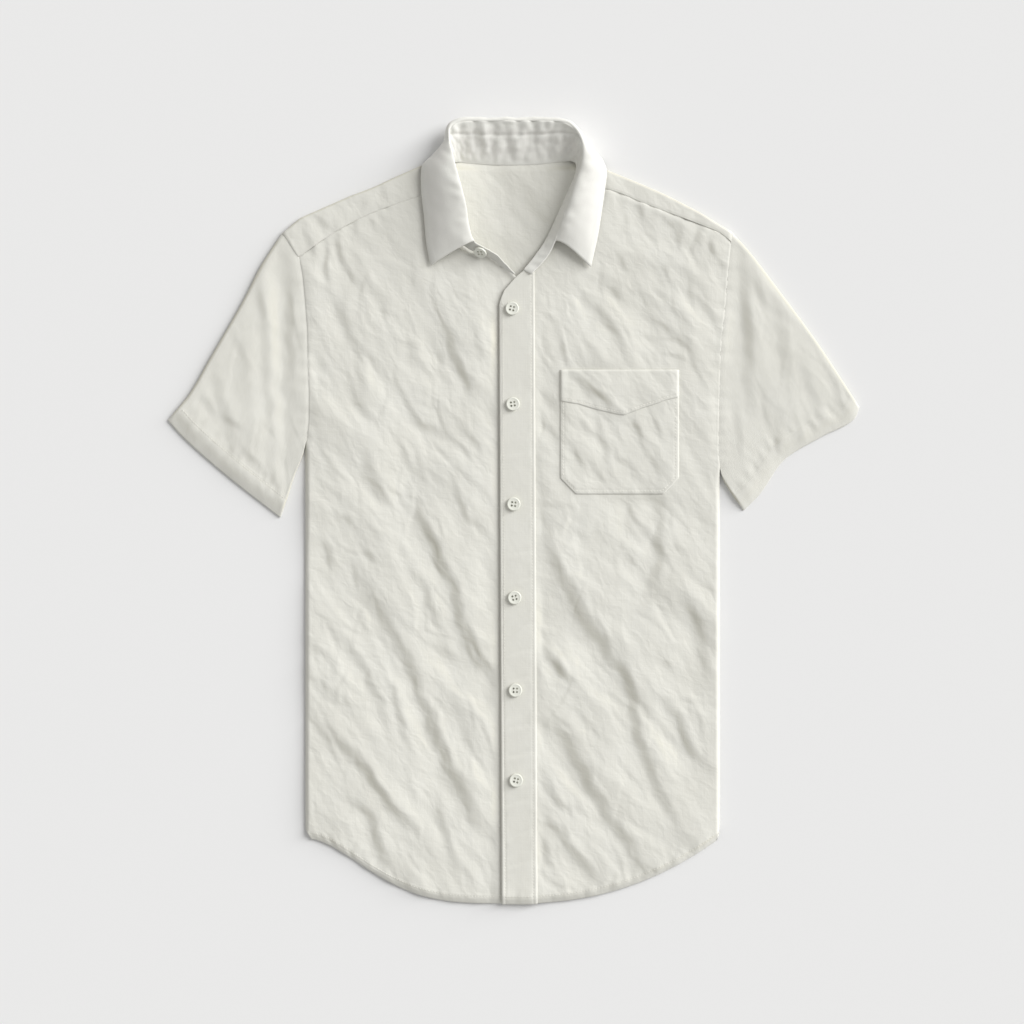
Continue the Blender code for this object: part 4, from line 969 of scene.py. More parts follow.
def add_back(finish):
    """The back panel: flat on the surface, with creases that stand up from it."""
    u = spaced(414.0, BACK_GRID)
    v = spaced(570.0, BACK_GRID, fine_start=14.0)
    right, left = back_side("right", v), back_side("left", v)
    top_x = right[-1, 0] + u * (left[-1, 0] - right[-1, 0])
    bottom_x = right[0, 0] + u * (left[0, 0] - right[0, 0])
    top = np.stack([top_x, back_seam_y(top_x)], axis=-1)
    bottom = np.stack([bottom_x, hem_y(bottom_x)], axis=-1)
    top[0], top[-1], bottom[0], bottom[-1] = right[-1], left[-1], right[0], left[0]
    plan = coons(bottom, top, right, left, u, v)
    plan[:, -1, 1] -= SEAM
    x, y = plan[..., 0], plan[..., 1]
    sides = np.minimum(x - SIDE_X["right"], SIDE_X["left"] - x)
    inside = smooth(0.0, 14.0, sides) * smooth(0.0, 14.0, y - hem_y(x))
    points = lift(plan, BACK_Z + 0.9 * np.clip(back_relief(x, y), 0.0, 1.2) * inside)
    return thick_sheet("back_cloth", "back", points, 0.9, finish), points


# ---- yoke ----
def front_seam_y(x):
    """The yoke's front seam at x, on either side."""
    return table_y(curve(FRONT_SEAM["right" if x < 0 else "left"], 60), x)


def fold_path(seam, fold, front):
    """A yoke column's way: flat on the back, round the shoulder's fold and on to the front."""
    to_back, to_front = unit(seam - fold), unit(front - fold)
    path = [(*seam, BACK_Z), (*(fold + to_back * FOLD_RADIUS), BACK_Z)]
    for angle in np.linspace(0.0, math.pi, 11)[1:]:
        way = to_back if angle < math.pi / 2 else to_front
        path.append((*(fold + FOLD_RADIUS * (1 - math.sin(angle)) * way),
                     BACK_Z + FOLD_RADIUS * (1 - math.cos(angle))))
    return np.array(path + [(*front, FRONT_Z)])


def yoke_column(fold_x, end, bulge):
    """The points of one yoke column; bulge is how its side leaves a straight line."""
    side = "right" if fold_x < 0 else "left"
    reach = fold_x / SHOULDER_POINT[side][0]
    seam_x = reach * end[0]
    seam = np.array([seam_x, back_seam_y(seam_x)])
    fold = np.array([fold_x, table_y(SHOULDER_FOLD, fold_x)])
    shift = max(0.0, reach - 0.9) / 0.1 * (ARMHOLE[side][0][0] - SHOULDER_POINT[side][0])
    front = np.array([fold_x + shift, front_seam_y(fold_x + shift)])
    path = fold_path(seam, fold, front)
    length = lengths_of(path)
    last = length[-2] + YOKE_FRONT_SHARES[1:] * (length[-1] - length[-2])
    wrapped = np.concatenate([YOKE_BACK_SHARES * length[1], length[2:-1], last])
    neck_y = BACK_NECK_Y + BACK_NECK_RISE * (fold_x / BACK_NECK_HALF) ** 2
    plain = np.linspace(0.0, neck_y - seam[1], len(wrapped))
    wrap = float(np.interp(fold_x, *np.transpose(YOKE_WRAP)))
    column = read_line(path, wrap * wrapped + (1 - wrap) * plain)
    column[:len(bulge), :2] += max(0.0, (abs(reach) - 0.6) / 0.4) * bulge
    return column


def yoke_rise(x, y, z):
    """How far the yoke's cloth stands above its plain form: its creases and the neck's inside."""
    on_front = smooth(FRONT_Z - 1.5, FRONT_Z - 0.1, z)
    relief = 0.8 * crease_height(SHOULDER_CREASES, x, y) + 0.8 * crumple(x, y, LEAN, 22.0, 80)
    for side in SIGN:
        relief += seam_height(x, y, curve(FRONT_SEAM[side], 16), 0.3, 1.5, 84)
        relief += seam_height(x, y, curve(ARMHOLE[side], 24), 0.5, seed=85)
    inside_y = smooth(240.0, 260.0, y) * smooth(352.0, 340.0, y)
    inside = (1.0 - on_front) * smooth(90.0, 70.0, np.abs(x)) * inside_y
    soft = 1.0 + 0.9 * noise(x, y, 38.0, 82) + 1.2 * crumple(x, y, -1.1, 30.0, 83)
    rise = 4.6 * smooth(8.0, 64.0, np.abs(x)) * smooth(235.0, 290.0, y)
    return on_front * relief + inside * (np.clip(soft, 0.0, 2.4) + rise)


def add_yoke(finish):
    """The yoke: flat across the upper back, and folded over each shoulder to its front seam."""
    ends, bulges = {}, {}
    for side in SIGN:
        down = armhole(side, np.linspace(0.0, BACK_SEAM_SHARE, 24))
        run = np.vstack([[SHOULDER_POINT[side]], down])[::-1]
        ends[side] = run[0]
        straight = run[0] + YOKE_BACK_SHARES[:, None] * (run[-1] - run[0])
        bulges[side] = at_shares(run, YOKE_BACK_SHARES) - straight
    first, last = SHOULDER_POINT["right"][0], SHOULDER_POINT["left"][0]
    columns = []
    for fold_x in np.linspace(first, last, 151):
        side = "right" if fold_x < 0 else "left"
        columns.append(yoke_column(fold_x, ends[side], bulges[side]))
    points = np.stack(columns)
    x, y, z = (points[..., k] for k in range(3))
    points[..., 2] = z + yoke_rise(x, y, z)
    return thick_sheet("yoke_cloth", "yoke", points, 0.9, finish), points


# ---- sleeves ----
def sleeve_grid(side):
    """A sleeve's plan from armhole to cuff, and each column's distance from a folded edge."""
    seam = np.vstack([[SLEEVE_TOP[side][0]], curve(ARMHOLE[side], 60) - (SIGN[side] * TUCK, 0.0)])
    seam[-1] = SLEEVE_UNDER[side][0]
    whole = lengths_of(seam)[-1]
    # Closer columns towards the folded edges, where the tube turns.
    edge = (1.0 - np.cos(np.linspace(0.0, math.pi / 2, 9))) * SLEEVE_EDGE
    places = np.concatenate([edge, np.linspace(edge[-1], whole - edge[-1], 96)[1:-1],
                             (whole - edge)[::-1]])
    across = places / whole
    stations = spaced(150.0, GRID, fine_start=4.0, fine_end=26.0)
    plan = coons(along(SLEEVE_TOP[side], stations), along(SLEEVE_UNDER[side], stations),
                 read_line(seam, places), along(CUFF[side], across), stations, across)
    return plan, np.minimum(places, whole - places)[None, :]


def sleeve_relief(side, plan, inset, seed):
    """A sleeve's creases, which fade into the armhole's seam, and its turned-up hem."""
    x, y = plan[..., 0], plan[..., 1]
    lean = math.radians(SLEEVE_LEAN[side])
    small = scattered(46, seed, (x.min(), y.min(), x.max(), y.max()), lean, 0.5)
    relief = crease_height(SLEEVE_CREASES[side], x, y) + 0.5 * crease_height(small, x, y)
    relief += 0.8 * crumple(x, y, lean, 30.0, seed + 1) + 0.9 * noise(x, y, 60.0, seed + 2)
    relief *= smooth(0.0, 10.0, inset) * (1.0 - near_armhole(side, x, y))
    hem = hem_height(*from_edge(plan, "last"), CUFF_WIDTH, seed + 5, 0.3)
    return relief + armhole_height(side, x, y) + hem


def add_sleeve(side, finish):
    """A sleeve: a flattened tube from the armhole to the turned-up cuff."""
    plan, inset = sleeve_grid(side)
    rounded = np.sqrt(1.0 - (1.0 - np.clip(inset / SLEEVE_EDGE, 0, 1)) ** 2)
    relief = sleeve_relief(side, plan, inset, 500 if side == "right" else 520)
    distance, _ = from_edge(plan, "last")
    closing = quarter_round(distance, CUFF_ROUND)
    high = CUFF_EDGE_Z + (np.maximum(SLEEVE_Z + relief, LOWEST_SLEEVE_Z) - CUFF_EDGE_Z) * closing
    middle = 0.5 * (BACK_Z + np.minimum(SLEEVE_Z, high))
    front = lift(plan, middle + (high - middle) * rounded)
    back = lift(plan, middle - (middle - BACK_Z) * rounded)
    around = np.concatenate([front, back[:, -2:0:-1]], axis=1).transpose(1, 0, 2)
    piece = thick_sheet(side + "_sleeve_cloth", "sleeve_" + side, around, CLOTH, finish,
                        ring=True, uv=grid_uv(around))
    return piece, front


# ---- collar ----
def collar_sections(first, last, count):
    """Neck seam, roll, pull and edge at even steps between two rows of the collar's table."""
    places = np.linspace(first, last, count)
    rows = np.arange(len(COLLAR))
    inner = rows[FALL_REACH[0]:FALL_REACH[1] + 1]
    curves = []
    for k in range(4):
        used = rows if k < 2 else inner
        values = np.array([COLLAR[row][k] for row in used], float)
        at = np.clip(places, used[0], used[-1])
        curves.append(spline(used, values, at, np.gradient(values, axis=0)))
    return curves


def add_collar_stand(finish):
    """The collar stand: an upright band round the neck, puckered at its seam."""
    neck, roll, _, _ = collar_sections(0, len(COLLAR) - 1, COLLAR_COLUMNS)
    neck = neck - (0.0, 0.0, STAND_SINK)
    v = np.linspace(0.0, 1.0, STAND_ROWS + 1)[None, :, None]
    points = neck[:, None] * (1 - v) + roll[:, None] * v
    place = lengths_of(roll)[:, None] + 0 * v[..., 0]
    height = lengths_of(points.transpose(1, 0, 2)).T
    at_back = smooth(335.0, 372.0, points[..., 1])
    puckers = (0.6 + 1.3 * at_back) * noise(place, 0.3 * height, 10.0, 601)
    puckers += (0.3 + 0.6 * at_back) * noise(place, 0.7 * height, 5.5, 602)
    puckers -= 1.1 * at_back * bell(height, 31.0, 1.6)
    points = points + (puckers * smooth(0.0, 5.0, height))[..., None] * grid_normals(points)
    return thick_sheet("collar_stand_cloth", "collar_stand", points, COLLAR_CLOTH, finish,
                       uv=grid_uv(points)), points


def add_collar_fall(finish):
    """The collar fall: it carries on from the stand, rolls over and lies outside it."""
    neck, roll, pull, edge = collar_sections(*FALL_REACH, COLLAR_COLUMNS)
    rise = unit(roll - neck)
    start = roll + rise * 0.3
    first = start + rise * ROLL_RISE
    v = np.linspace(0.0, 1.0, FALL_ROWS + 1)[None, :, None] ** 1.25
    points = ((1 - v) ** 3 * start[:, None] + 3 * (1 - v) ** 2 * v * first[:, None]
              + 3 * (1 - v) * v * v * pull[:, None] + v ** 3 * edge[:, None])
    from_roll, place = from_edge(points, "bottom")
    to_edge, _ = from_edge(points, "top")
    crinkles = 0.7 * noise(place, 0.5 * from_roll, 9.0, 611) * bell(from_roll, 7.0, 7.0)
    waves = 0.7 * noise(place, from_roll, 30.0, 612) + 0.25 * noise(place, from_roll, 12.0, 613)
    calm_end = smooth(0.0, 6.0, to_edge) * smooth(0.0, 2.0, from_roll)
    relief = (crinkles + waves) * calm_end + 0.3 * bell(to_edge, 5.0, 1.1)
    points = points + relief[..., None] * grid_normals(points)
    return thick_sheet("collar_fall_cloth", "collar_fall", points, COLLAR_CLOTH, finish,
                       uv=grid_uv(points)), points


# ---- pocket ----
def pocket_plan(xs, bottom, v):
    """Plan points of a patch, from its lower edge up to the pocket's mouth."""
    y = bottom[:, None] + v[None, :] * (POCKET_TOP_Y - bottom[:, None])
    return np.dstack([np.repeat(xs[:, None], len(v), axis=1), y])


def pocket_relief(x, y):
    """The pocket's own creases."""
    return crease_height(POCKET_CREASES, x, y) + 0.75 * crumple(x, y, LEAN, 20.0, 95)


def pocket_bottom(xs):
    """The pocket's lower edge, with its corners cut off."""
    corner = np.minimum(xs - POCKET_X[0], POCKET_X[1] - xs) / POCKET_CHAMFER_X
    return POCKET_BOTTOM_Y + POCKET_CHAMFER_Y * (1.0 - np.clip(corner, 0.0, 1.0))


def add_pocket(finish):
    """The patch pocket, stitched round its sides and foot."""
    xs = np.linspace(*POCKET_X, 96)
    plan = pocket_plan(xs, pocket_bottom(xs), np.linspace(0.0, 1.0, 100))
    x, y = plan[..., 0], plan[..., 1]
    round_edge = np.minimum.reduce([x - POCKET_X[0], POCKET_X[1] - x,
                                    (y - pocket_bottom(x)) * 0.8])
    z = front_z(x, y) + POCKET_LAYER + pocket_relief(x, y) * smooth(0.0, 9.0, round_edge)
    z += stitch_height(round_edge, x + y, POCKET_STITCHES, 701)
    points = lift(plan, z - 0.55 * bell(round_edge, 0.0, 0.8))
    return thick_sheet("pocket_cloth", "pocket", points, CLOTH, finish), points


def add_pocket_band(finish):
    """The band along the pocket's mouth, with its lower edge in a shallow V."""
    xs = np.linspace(POCKET_X[0] + 0.6, POCKET_X[1] - 0.6, 96)
    plan = pocket_plan(xs, table_y(POCKET_BAND, xs), np.linspace(0.0, 1.0, 40))
    x, y = plan[..., 0], plan[..., 1]
    below, place = from_edge(plan, "bottom")
    mouth, _ = from_edge(plan, "top")
    sides = np.minimum(x - POCKET_X[0], POCKET_X[1] - x)
    z = front_z(x, y) + 2 * POCKET_LAYER + pocket_relief(x, y) * smooth(0.0, 9.0, sides)
    z -= 0.6 * bell(below, 0.0, 1.0) + 0.5 * bell(mouth, 0.0, 0.9) + 0.6 * bell(sides, 0.0, 1.2)
    points = lift(plan, z + stitch_height(below, place, BAND_STITCHES, 702))
    return thick_sheet("pocket_band_cloth", "pocket_band", points, CLOTH, finish), points


# ---- buttons ----
BUTTON_RADIUS = 6.7
BUTTON_THICKNESS = 2.4
DISH = 0.88            # the dish's height as a share of the thickness
HOLE_RADIUS = 1.05
HOLE_SPREAD = 2.4      # from the button's middle to each hole's
THREAD_RADIUS = 0.14
BUTTONS = ["button_1", "button_2", "button_3", "button_4", "button_5", "button_6", "button_stand"]
# From the middle over the rim to the foot: share of the radius, share of the thickness.
BUTTON_PROFILE = [(0.0, DISH), (0.30, DISH), (0.60, 0.885), (0.70, 0.91), (0.78, 0.96),
                  (0.84, 0.99), (0.89, 1.0), (0.93, 0.98), (0.97, 0.88), (0.99, 0.74), (1.0, 0.5),
                  (0.98, 0.32), (0.92, 0.12), (0.84, 0.0), (0.0, 0.0)]
# One bar of thread over the dish: share of the way to a hole, height over the dish.
THREAD_BAR = [(-0.55, -0.7), (-0.42, 0.0), (0.0, 0.1), (0.42, 0.0), (0.55, -0.7)]


def turned_blank():
    """A button without its holes, turned from its profile."""
    line = bpy.data.meshes.new("button_profile")
    line.from_pydata([(share * BUTTON_RADIUS * MM, 0.0, height * BUTTON_THICKNESS * MM)
                      for share, height in BUTTON_PROFILE],
                     [(k, k + 1) for k in range(len(BUTTON_PROFILE) - 1)], [])
    blank = put("button_turned", line)
    screw = blank.modifiers.new("turn", "SCREW")
    screw.steps = 56
    screw.render_steps = 56
    screw.use_merge_vertices = True
    screw.merge_threshold = 0.001 * MM
    return blank


def hole_drills():
    """Four pins where a button's holes go."""
    drills = bmesh.new()
    for k in range(4):
        angle = math.radians(45.0 + 90.0 * k)
        middle = Vector((HOLE_SPREAD * math.cos(angle), HOLE_SPREAD * math.sin(angle),
                         0.5 * BUTTON_THICKNESS)) * MM
        bmesh.ops.create_cone(drills, cap_ends=True, segments=20, radius1=HOLE_RADIUS * MM,
                              radius2=HOLE_RADIUS * MM, depth=3 * BUTTON_THICKNESS * MM,
                              matrix=Matrix.Translation(middle))
    mesh = bpy.data.meshes.new("button_drills")
    drills.to_mesh(mesh)
    drills.free()
    return put("button_drills", mesh)


def button_mesh():
    """A turned four-hole button: a rounded rim round a shallow dish."""
    blank, drills = turned_blank(), hole_drills()
    cut = blank.modifiers.new("holes", "BOOLEAN")
    cut.object = drills
    cut.operation = "DIFFERENCE"
    bpy.context.view_layer.update()
    graph = bpy.context.evaluated_depsgraph_get()
    mesh = bpy.data.meshes.new_from_object(blank.evaluated_get(graph))
    mesh.name = "button"
    mesh.shade_smooth()
    mesh.set_sharp_from_angle(angle=math.radians(38.0))
    for used in (blank, drills):
        bpy.data.objects.remove(used)
    return mesh


def button_place(number, name):
    """Where a button goes: on its CAD one's foot, square to it, each turned a little."""
    corners = np.array([v.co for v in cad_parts[name].data.vertices]) / MM
    centre = corners.mean(axis=0)
    normal = Vector(np.linalg.svd(corners - centre)[2][2])
    if normal.z < 0:
        normal = -normal
    low = float(((corners - centre) @ np.array(normal)).min())
    turn = Matrix.Rotation(math.radians(7.0 * ((3 * number) % 5 - 2)), 4, "Z")
    tilt = Vector((0.0, 0.0, 1.0)).rotation_difference(normal).to_matrix().to_4x4()
    return Matrix.Translation((Vector(centre) + normal * low) * MM) @ tilt @ turn


def add_buttons(finish, thread):
    """A detailed button in the place of each CAD one, and the thread that holds it."""
    mesh = button_mesh()
    curves = bpy.data.curves.new("button_threads", "CURVE")
    curves.dimensions = "3D"
    curves.bevel_depth = THREAD_RADIUS * MM
    curves.bevel_resolution = 2
    curves.use_fill_caps = True
    reach = 0.7 * HOLE_SPREAD
    for number, name in enumerate(BUTTONS):
        place = button_place(number, name)
        button = mesh.copy()
        button.transform(place)
        add_piece(name + "_turned", button, finish, name)
        for side in (-1, 1):
            strand = curves.splines.new("POLY")
            strand.points.add(len(THREAD_BAR) - 1)
            for point, (share, height) in zip(strand.points, THREAD_BAR):
                at = Vector((side * reach, share * reach, DISH * BUTTON_THICKNESS + height))
                point.co = (*(place @ (at * MM)), 1.0)
    add_piece("button_threads", curves, thread)


# ---- stitches ----
def on_top(piece, line):
    """A plan line laid on a piece's upper face, with the face's normals."""
    mesh = piece.data
    tree = BVHTree.FromPolygons([v.co for v in mesh.vertices],
                                [p.vertices for p in mesh.polygons])
    points, normals = [], []
    for x, y in line:
        hit, normal, _, _ = tree.ray_cast(Vector((x, y, 60.0)) * MM, Vector((0.0, 0.0, -1.0)))
        if hit is not None:
            points.append(np.array(hit) / MM)
            normals.append(np.array(normal))
    return np.array(points), np.array(normals)


def above_edge(x, inset):
    """A plan line at x that runs an inset above the hem."""
    return np.stack([x, hem_y(x) + inset], axis=-1)


def hem_stitches(pieces):
    """Along the hem of both fronts."""
    return [on_top(pieces[name], above_edge(np.arange(low, high, 1.5), HEM_WIDTH - STITCH_INSET))
            for name, low, high in (("right", -200.0, -18.0), ("left", 24.0, 202.0))]


def placket_stitches(pieces):
    """Up both edges of the placket and across its foot."""
    low_x, high_x = PLACKET_X
    lines = []
    for x, top in ((low_x + PLACKET_STITCHES, PLACKET_TOP[0][1] + 4.0),
                   (high_x - PLACKET_STITCHES, 245.0)):
        y = np.arange(HEM_LOW_Y + 2.0, top, 1.5)
        lines.append(np.stack([x + slant(y), y], axis=-1))
    foot = np.arange(low_x + 1.5, high_x - 1.0, 1.5) + PLACKET_SLANT
    lines.append(above_edge(foot, HEM_WIDTH - STITCH_INSET))
    return [on_top(pieces["placket"], line) for line in lines]


def pocket_stitches(pieces):
    """Round the pocket's sides and foot, and along the lower edge of its band."""
    low_x, high_x = POCKET_X[0] + POCKET_STITCHES, POCKET_X[1] - POCKET_STITCHES
    foot_y = POCKET_BOTTOM_Y + POCKET_STITCHES
    cut = 1.2              # how far the stitches turn inside the cut corners
    corner_x, corner_y = POCKET_CHAMFER_X + cut, POCKET_BOTTOM_Y + POCKET_CHAMFER_Y + cut
    outline = np.array([(low_x, POCKET_TOP_Y - 2.0), (low_x, corner_y),
                        (POCKET_X[0] + corner_x, foot_y), (POCKET_X[1] - corner_x, foot_y),
                        (high_x, corner_y), (high_x, POCKET_TOP_Y - 2.0)])
    outline = read_line(outline, np.arange(0.0, lengths_of(outline)[-1], 1.2))
    x = np.arange(low_x, high_x, 1.5)
    mouth = np.stack([x, table_y(POCKET_BAND, x) + BAND_STITCHES], axis=-1)
    return [on_top(pieces["pocket"], outline), on_top(pieces["pocket_band"], mouth)]


def cuff_stitches(grids):
    """Round the front of each sleeve's hem, short of its folded edges."""
    lines = []
    for side in SIGN:
        points, normals = line_inside(grids[side + "_sleeve"], CUFF_WIDTH - STITCH_INSET, CLOTH)
        normals = np.sign(normals[:, 2:]) * normals
        points[:, 2] += 0.2
        lines.append((points[6:-6], normals[6:-6]))
    return lines


def add_stitches(pieces, grids, thread):
    """The lines of stitches that show: hem, placket, pocket and cuffs."""
    sew("hem_stitches", hem_stitches(pieces), thread)
    sew("placket_stitches", placket_stitches(pieces), thread)
    sew("pocket_stitches", pocket_stitches(pieces), thread)
    sew("cuff_stitches", cuff_stitches(grids), thread)


# ---- finishes ----
# The colours of a cloth: pale and deep threads, and a deeper, warmer painted shade for its tilted
# creases.
LINEN = ((0.765, 0.76, 0.708), (0.68, 0.67, 0.608), (0.65, 0.635, 0.55))
COLLAR_LINEN = ((0.79, 0.79, 0.75), (0.73, 0.72, 0.67), (0.76, 0.75, 0.71))
THREAD_PITCH = 0.62
SLUB_HEIGHT = 0.05
WEAVE_HEIGHT = 0.03
PER_MM = 1.0 / MM


def new_material(name, values):
    """A material whose shader has these plain values."""
    made = bpy.data.materials.new(name)
    made.use_nodes = True
    for socket, value in values.items():
        made.node_tree.nodes["Principled BSDF"].inputs[socket].default_value = value
    return made


def add_node(made, kind, values=None):
    """A node in a material: each value is a link from a socket, or else the input's own value."""
    node = made.node_tree.nodes.new("ShaderNode" + kind)
    return fill(made, node, values or {})


def fill(made, node, values):
    """Sets a node's inputs."""
    for socket, value in values.items():
        if isinstance(value, bpy.types.NodeSocket):
            made.node_tree.links.new(value, node.inputs[socket])
        else:
            node.inputs[socket].default_value = value
    return node


def shade(made, values):
    """Links textures to the material's shader."""
    fill(made, made.node_tree.nodes["Principled BSDF"], values)


def between(made, share, low, high):
    """A colour from low to high; each of the two is a plain colour or a socket."""
    node = add_node(made, "Mix")
    node.data_type = "RGBA"
    colours = [value if isinstance(value, bpy.types.NodeSocket) else (*value, 1.0)
               for value in (low, high)]
    return fill(made, node, {"Factor": share, 6: colours[0], 7: colours[1]}).outputs[2]


def ranged(made, value, low, high):
    """A number from low to high as a texture's value goes from 0 to 1."""
    node = add_node(made, "MapRange", {"To Min": low, "To Max": high, "Value": value})
    return node.outputs["Result"]


def counted(made, operation, *values):
    """The result of a Math node."""
    node = add_node(made, "Math", dict(enumerate(values)))
    node.operation = operation
    return node.outputs["Value"]


def cloud(made, where, scale, detail, rough=0.5):
    """A noise texture; scale is per metre, one number for each direction."""
    spot = add_node(made, "Mapping", {"Scale": scale, "Vector": where})
    node = add_node(made, "TexNoise", {"Scale": 1.0, "Detail": detail, "Roughness": rough,
                                       "Vector": spot.outputs["Vector"]})
    return node.outputs["Fac"]


def threads(made, where, direction):
    """The threads of the weave that run one way."""
    per_metre = 2.0 * math.pi / 20.0 * PER_MM / THREAD_PITCH
    spot = add_node(made, "Mapping", {"Scale": (per_metre, per_metre, 1.0), "Vector": where})
    node = add_node(made, "TexWave", {"Scale": 1.0, "Distortion": 1.2, "Detail": 2.0,
                                      "Detail Scale": 0.35, "Vector": spot.outputs["Vector"]})
    node.bands_direction = direction
    return node.outputs["Fac"]


def swayed(made, where):
    """The cloth's own coordinates, bent by up to a few millimetres."""
    sway = add_node(made, "TexNoise", {"Scale": 0.055 * PER_MM, "Detail": 2.0, "Vector": where})
    node = add_node(made, "VectorMath")
    node.operation = "MULTIPLY_ADD"
    fill(made, node, {0: sway.outputs["Color"], 1: (14.0 * MM, 14.0 * MM, 0.0), 2: where})
    return node.outputs["Vector"]


def crinkled(made, where, size, turn):
    """Small flat-sided crinkles, longer along the way that they are turned."""
    spot = add_node(made, "Mapping")
    spot.vector_type = "TEXTURE"
    fill(made, spot, {"Rotation": (0.0, 0.0, turn), "Scale": (2.4 * size * MM, size * MM, 1.0),
                      "Vector": where})
    node = add_node(made, "TexVoronoi")
    node.distance = "MANHATTAN"
    node.voronoi_dimensions = "2D"
    return fill(made, node, {"Scale": 1.0, "Vector": spot.outputs["Vector"]}).outputs["Distance"]


def embossed(made, layers):
    """The normal after several layers of bump, each its texture and its height in millimetres."""
    normal = None
    for texture, height in layers:
        node = add_node(made, "Bump", {"Strength": 1.0, "Distance": height * MM,
                                       "Height": texture})
        if normal is not None:
            fill(made, node, {"Normal": normal})
        normal = node.outputs["Normal"]
    return normal


def cloth_finish(name, colours, wrinkle_height, crinkle_height):
    """A plain weave of slubbed linen and cotton: threads, slubs, small wrinkles, a faint tone, and a
    painted shade on tilted creases.
    """
    made = new_material(name, {"Sheen Weight": 0.18, "Sheen Roughness": 0.45,
                               "Specular IOR Level": 0.28})
    place = add_node(made, "UVMap")
    place.uv_map = "cloth"
    where = place.outputs["UV"]
    slubs = counted(made, "ADD", cloud(made, where, (0.035 * PER_MM, 1.6 * PER_MM, 1.0), 1.0),
                    cloud(made, where, (1.6 * PER_MM, 0.03 * PER_MM, 1.0), 1.0))
    weave = counted(made, "ADD", threads(made, where, "X"), threads(made, where, "Y"))
    wrinkles = cloud(made, where, (0.16 * PER_MM, 0.11 * PER_MM, 1.0), 4.0, 0.55)
    tone = cloud(made, where, (0.022 * PER_MM, 0.016 * PER_MM, 1.0), 3.0)
    bent = swayed(made, where)
    pale, deep, painted_shade_colour = colours
    share = counted(made, "SUBTRACT", counted(made, "MULTIPLY_ADD", slubs, 0.38, tone), 0.38)
    # Painted shade: the crease attribute mixes in the deeper, warmer colour where the cloth tilts.
    painted_shade = add_node(made, "Attribute")
    painted_shade.attribute_name = "crease"
    colour = between(made, painted_shade.outputs["Fac"], between(made, share, deep, pale), painted_shade_colour)
    normal = embossed(made, [(crinkled(made, bent, 12.0, LEAN), crinkle_height),
                             (crinkled(made, bent, 5.5, LEAN + 0.6), 0.35 * crinkle_height),
                             (wrinkles, wrinkle_height), (slubs, SLUB_HEIGHT),
                             (weave, WEAVE_HEIGHT)])
    shade(made, {"Base Color": colour, "Roughness": ranged(made, tone, 0.78, 0.96),
                 "Normal": normal})
    return made


def thread_finish():
    """Pale sewing thread."""
    made = new_material("sewing_thread", {"Roughness": 0.7, "Sheen Weight": 0.2})
    twist = add_node(made, "TexNoise", {"Scale": 900.0})
    shade(made, {"Base Color": between(made, twist.outputs["Fac"], (0.72, 0.70, 0.63),
                                       (0.86, 0.85, 0.79))})
    return made


def button_finish():
    """Off-white moulded plastic with a faint cloud in it."""
    made = new_material("button_plastic", {"Specular IOR Level": 0.5, "Coat Weight": 0.15,
                                           "Coat Roughness": 0.25})
    place = add_node(made, "TexCoord")
    faint = add_node(made, "TexNoise", {"Scale": 180.0, "Detail": 3.0,
                                        "Vector": place.outputs["Object"]}).outputs["Fac"]
    shade(made, {"Base Color": between(made, faint, (0.74, 0.75, 0.67), (0.82, 0.82, 0.75)),
                 "Roughness": ranged(made, faint, 0.28, 0.42)})
    return made


# ---- the studio ----
SEEN = 1.024           # metres of floor across the frame
FLOOR_HALF = 30.0      # metres: the floor runs on past every view's horizon


def add_camera():
    """Straight above the shirt, its top edge to the collar."""
    data = bpy.data.cameras.new("camera")
    data.lens = 100.0
    data.sensor_width = 36.0
    made = put("camera", data)
    low, high = CAD_BOX
    made.location = (0.5 * (low.x + high.x) - 0.0015, 0.5 * (low.y + high.y) - 0.0007,
                     SEEN * data.lens / data.sensor_width + 0.006)
    bpy.context.scene.camera = made


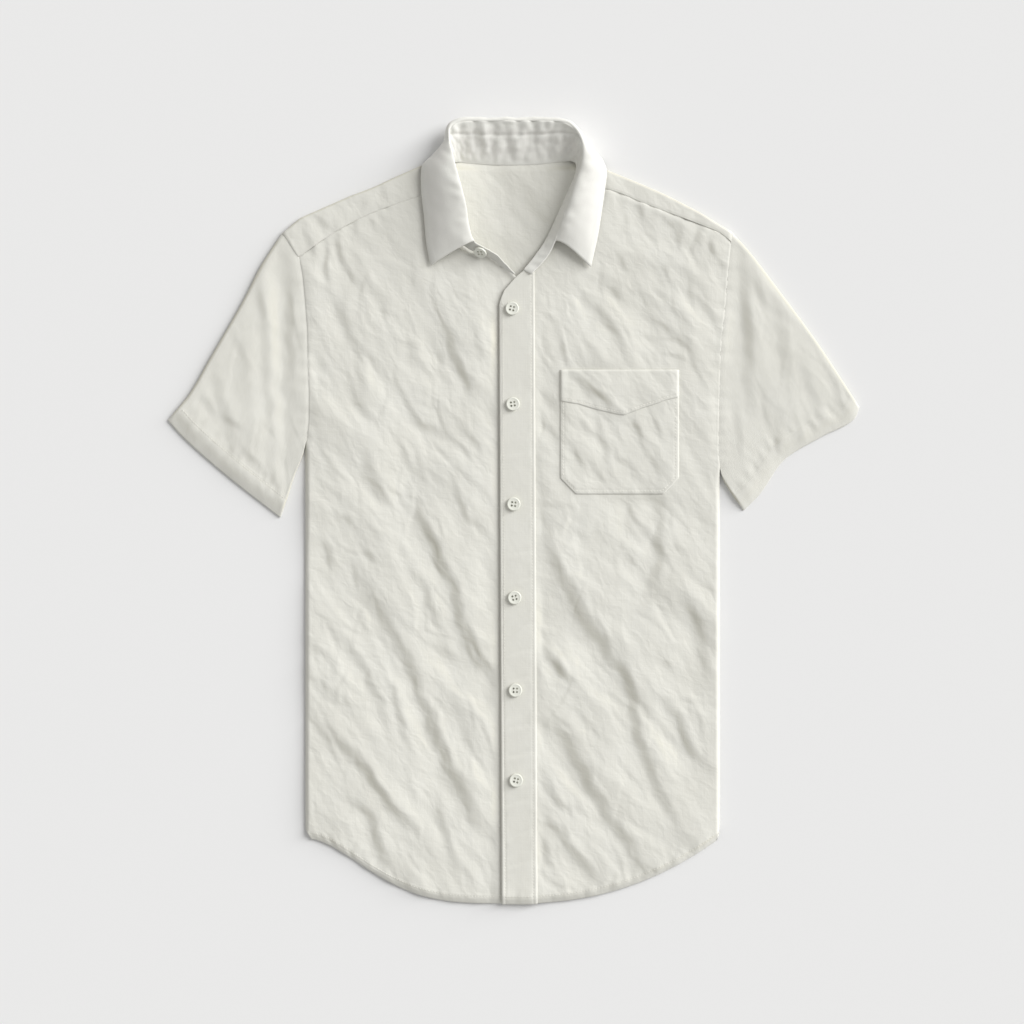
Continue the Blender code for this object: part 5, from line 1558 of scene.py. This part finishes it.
def add_sun(name, azimuth, elevation, angle, strength):
    """A wide soft light from far off; azimuth is from +X towards +Y."""
    data = bpy.data.lights.new(name, "SUN")
    data.energy = strength
    data.angle = math.radians(angle)
    azimuth, elevation = math.radians(azimuth), math.radians(elevation)
    away = Vector((math.cos(azimuth) * math.cos(elevation),
                   math.sin(azimuth) * math.cos(elevation), math.sin(elevation)))
    made = put(name, data)
    made.rotation_euler = away.to_track_quat("Z", "Y").to_euler()
    made.location = 3.0 * away


def add_floor():
    """A plain pale floor."""
    data = bpy.data.meshes.new("floor")
    corners = ((-1, -1), (1, -1), (1, 1), (-1, 1))
    data.from_pydata([(x * FLOOR_HALF, y * FLOOR_HALF, 0.0) for x, y in corners], [],
                     [(0, 1, 2, 3)])
    data.materials.append(new_material("floor_paper", {
        "Base Color": (0.82, 0.82, 0.82, 1.0), "Roughness": 0.95, "Specular IOR Level": 0.1}))
    put("floor", data)


def add_studio():
    """Soft light from the upper right and all round, over the floor."""
    add_floor()
    add_sun("key", 30.0, 36.0, 36.0, 2.3)
    add_sun("low", 28.0, 12.0, 20.0, 1.5)
    world = bpy.data.worlds.new("studio")
    world.use_nodes = True
    sky = world.node_tree.nodes["Background"]
    sky.inputs["Color"].default_value = (1.0, 0.995, 0.98, 1.0)
    sky.inputs["Strength"].default_value = 0.47
    bpy.context.scene.world = world
    bpy.context.scene.view_settings.view_transform = "Standard"


def main():
    """Builds the studio and the shirt."""
    add_camera()
    add_studio()
    body = cloth_finish("linen_cotton", LINEN, 0.24, 0.30)
    calmer = cloth_finish("linen_cotton_calm", LINEN, 0.12, 0.08)
    crisp = cloth_finish("collar_linen", COLLAR_LINEN, 0.12, 0.05)
    thread = thread_finish()
    made = {"right": add_front_right(body), "left": add_front_left(body),
            "placket": add_placket(calmer), "back": add_back(body), "yoke": add_yoke(body),
            "right_sleeve": add_sleeve("right", calmer), "left_sleeve": add_sleeve("left", calmer),
            "stand": add_collar_stand(crisp), "fall": add_collar_fall(crisp),
            "pocket": add_pocket(body), "pocket_band": add_pocket_band(body)}
    pieces = {name: piece for name, (piece, _) in made.items()}
    grids = {name: grid for name, (_, grid) in made.items()}
    add_buttons(button_finish(), thread)
    add_stitches(pieces, grids, thread)


main()
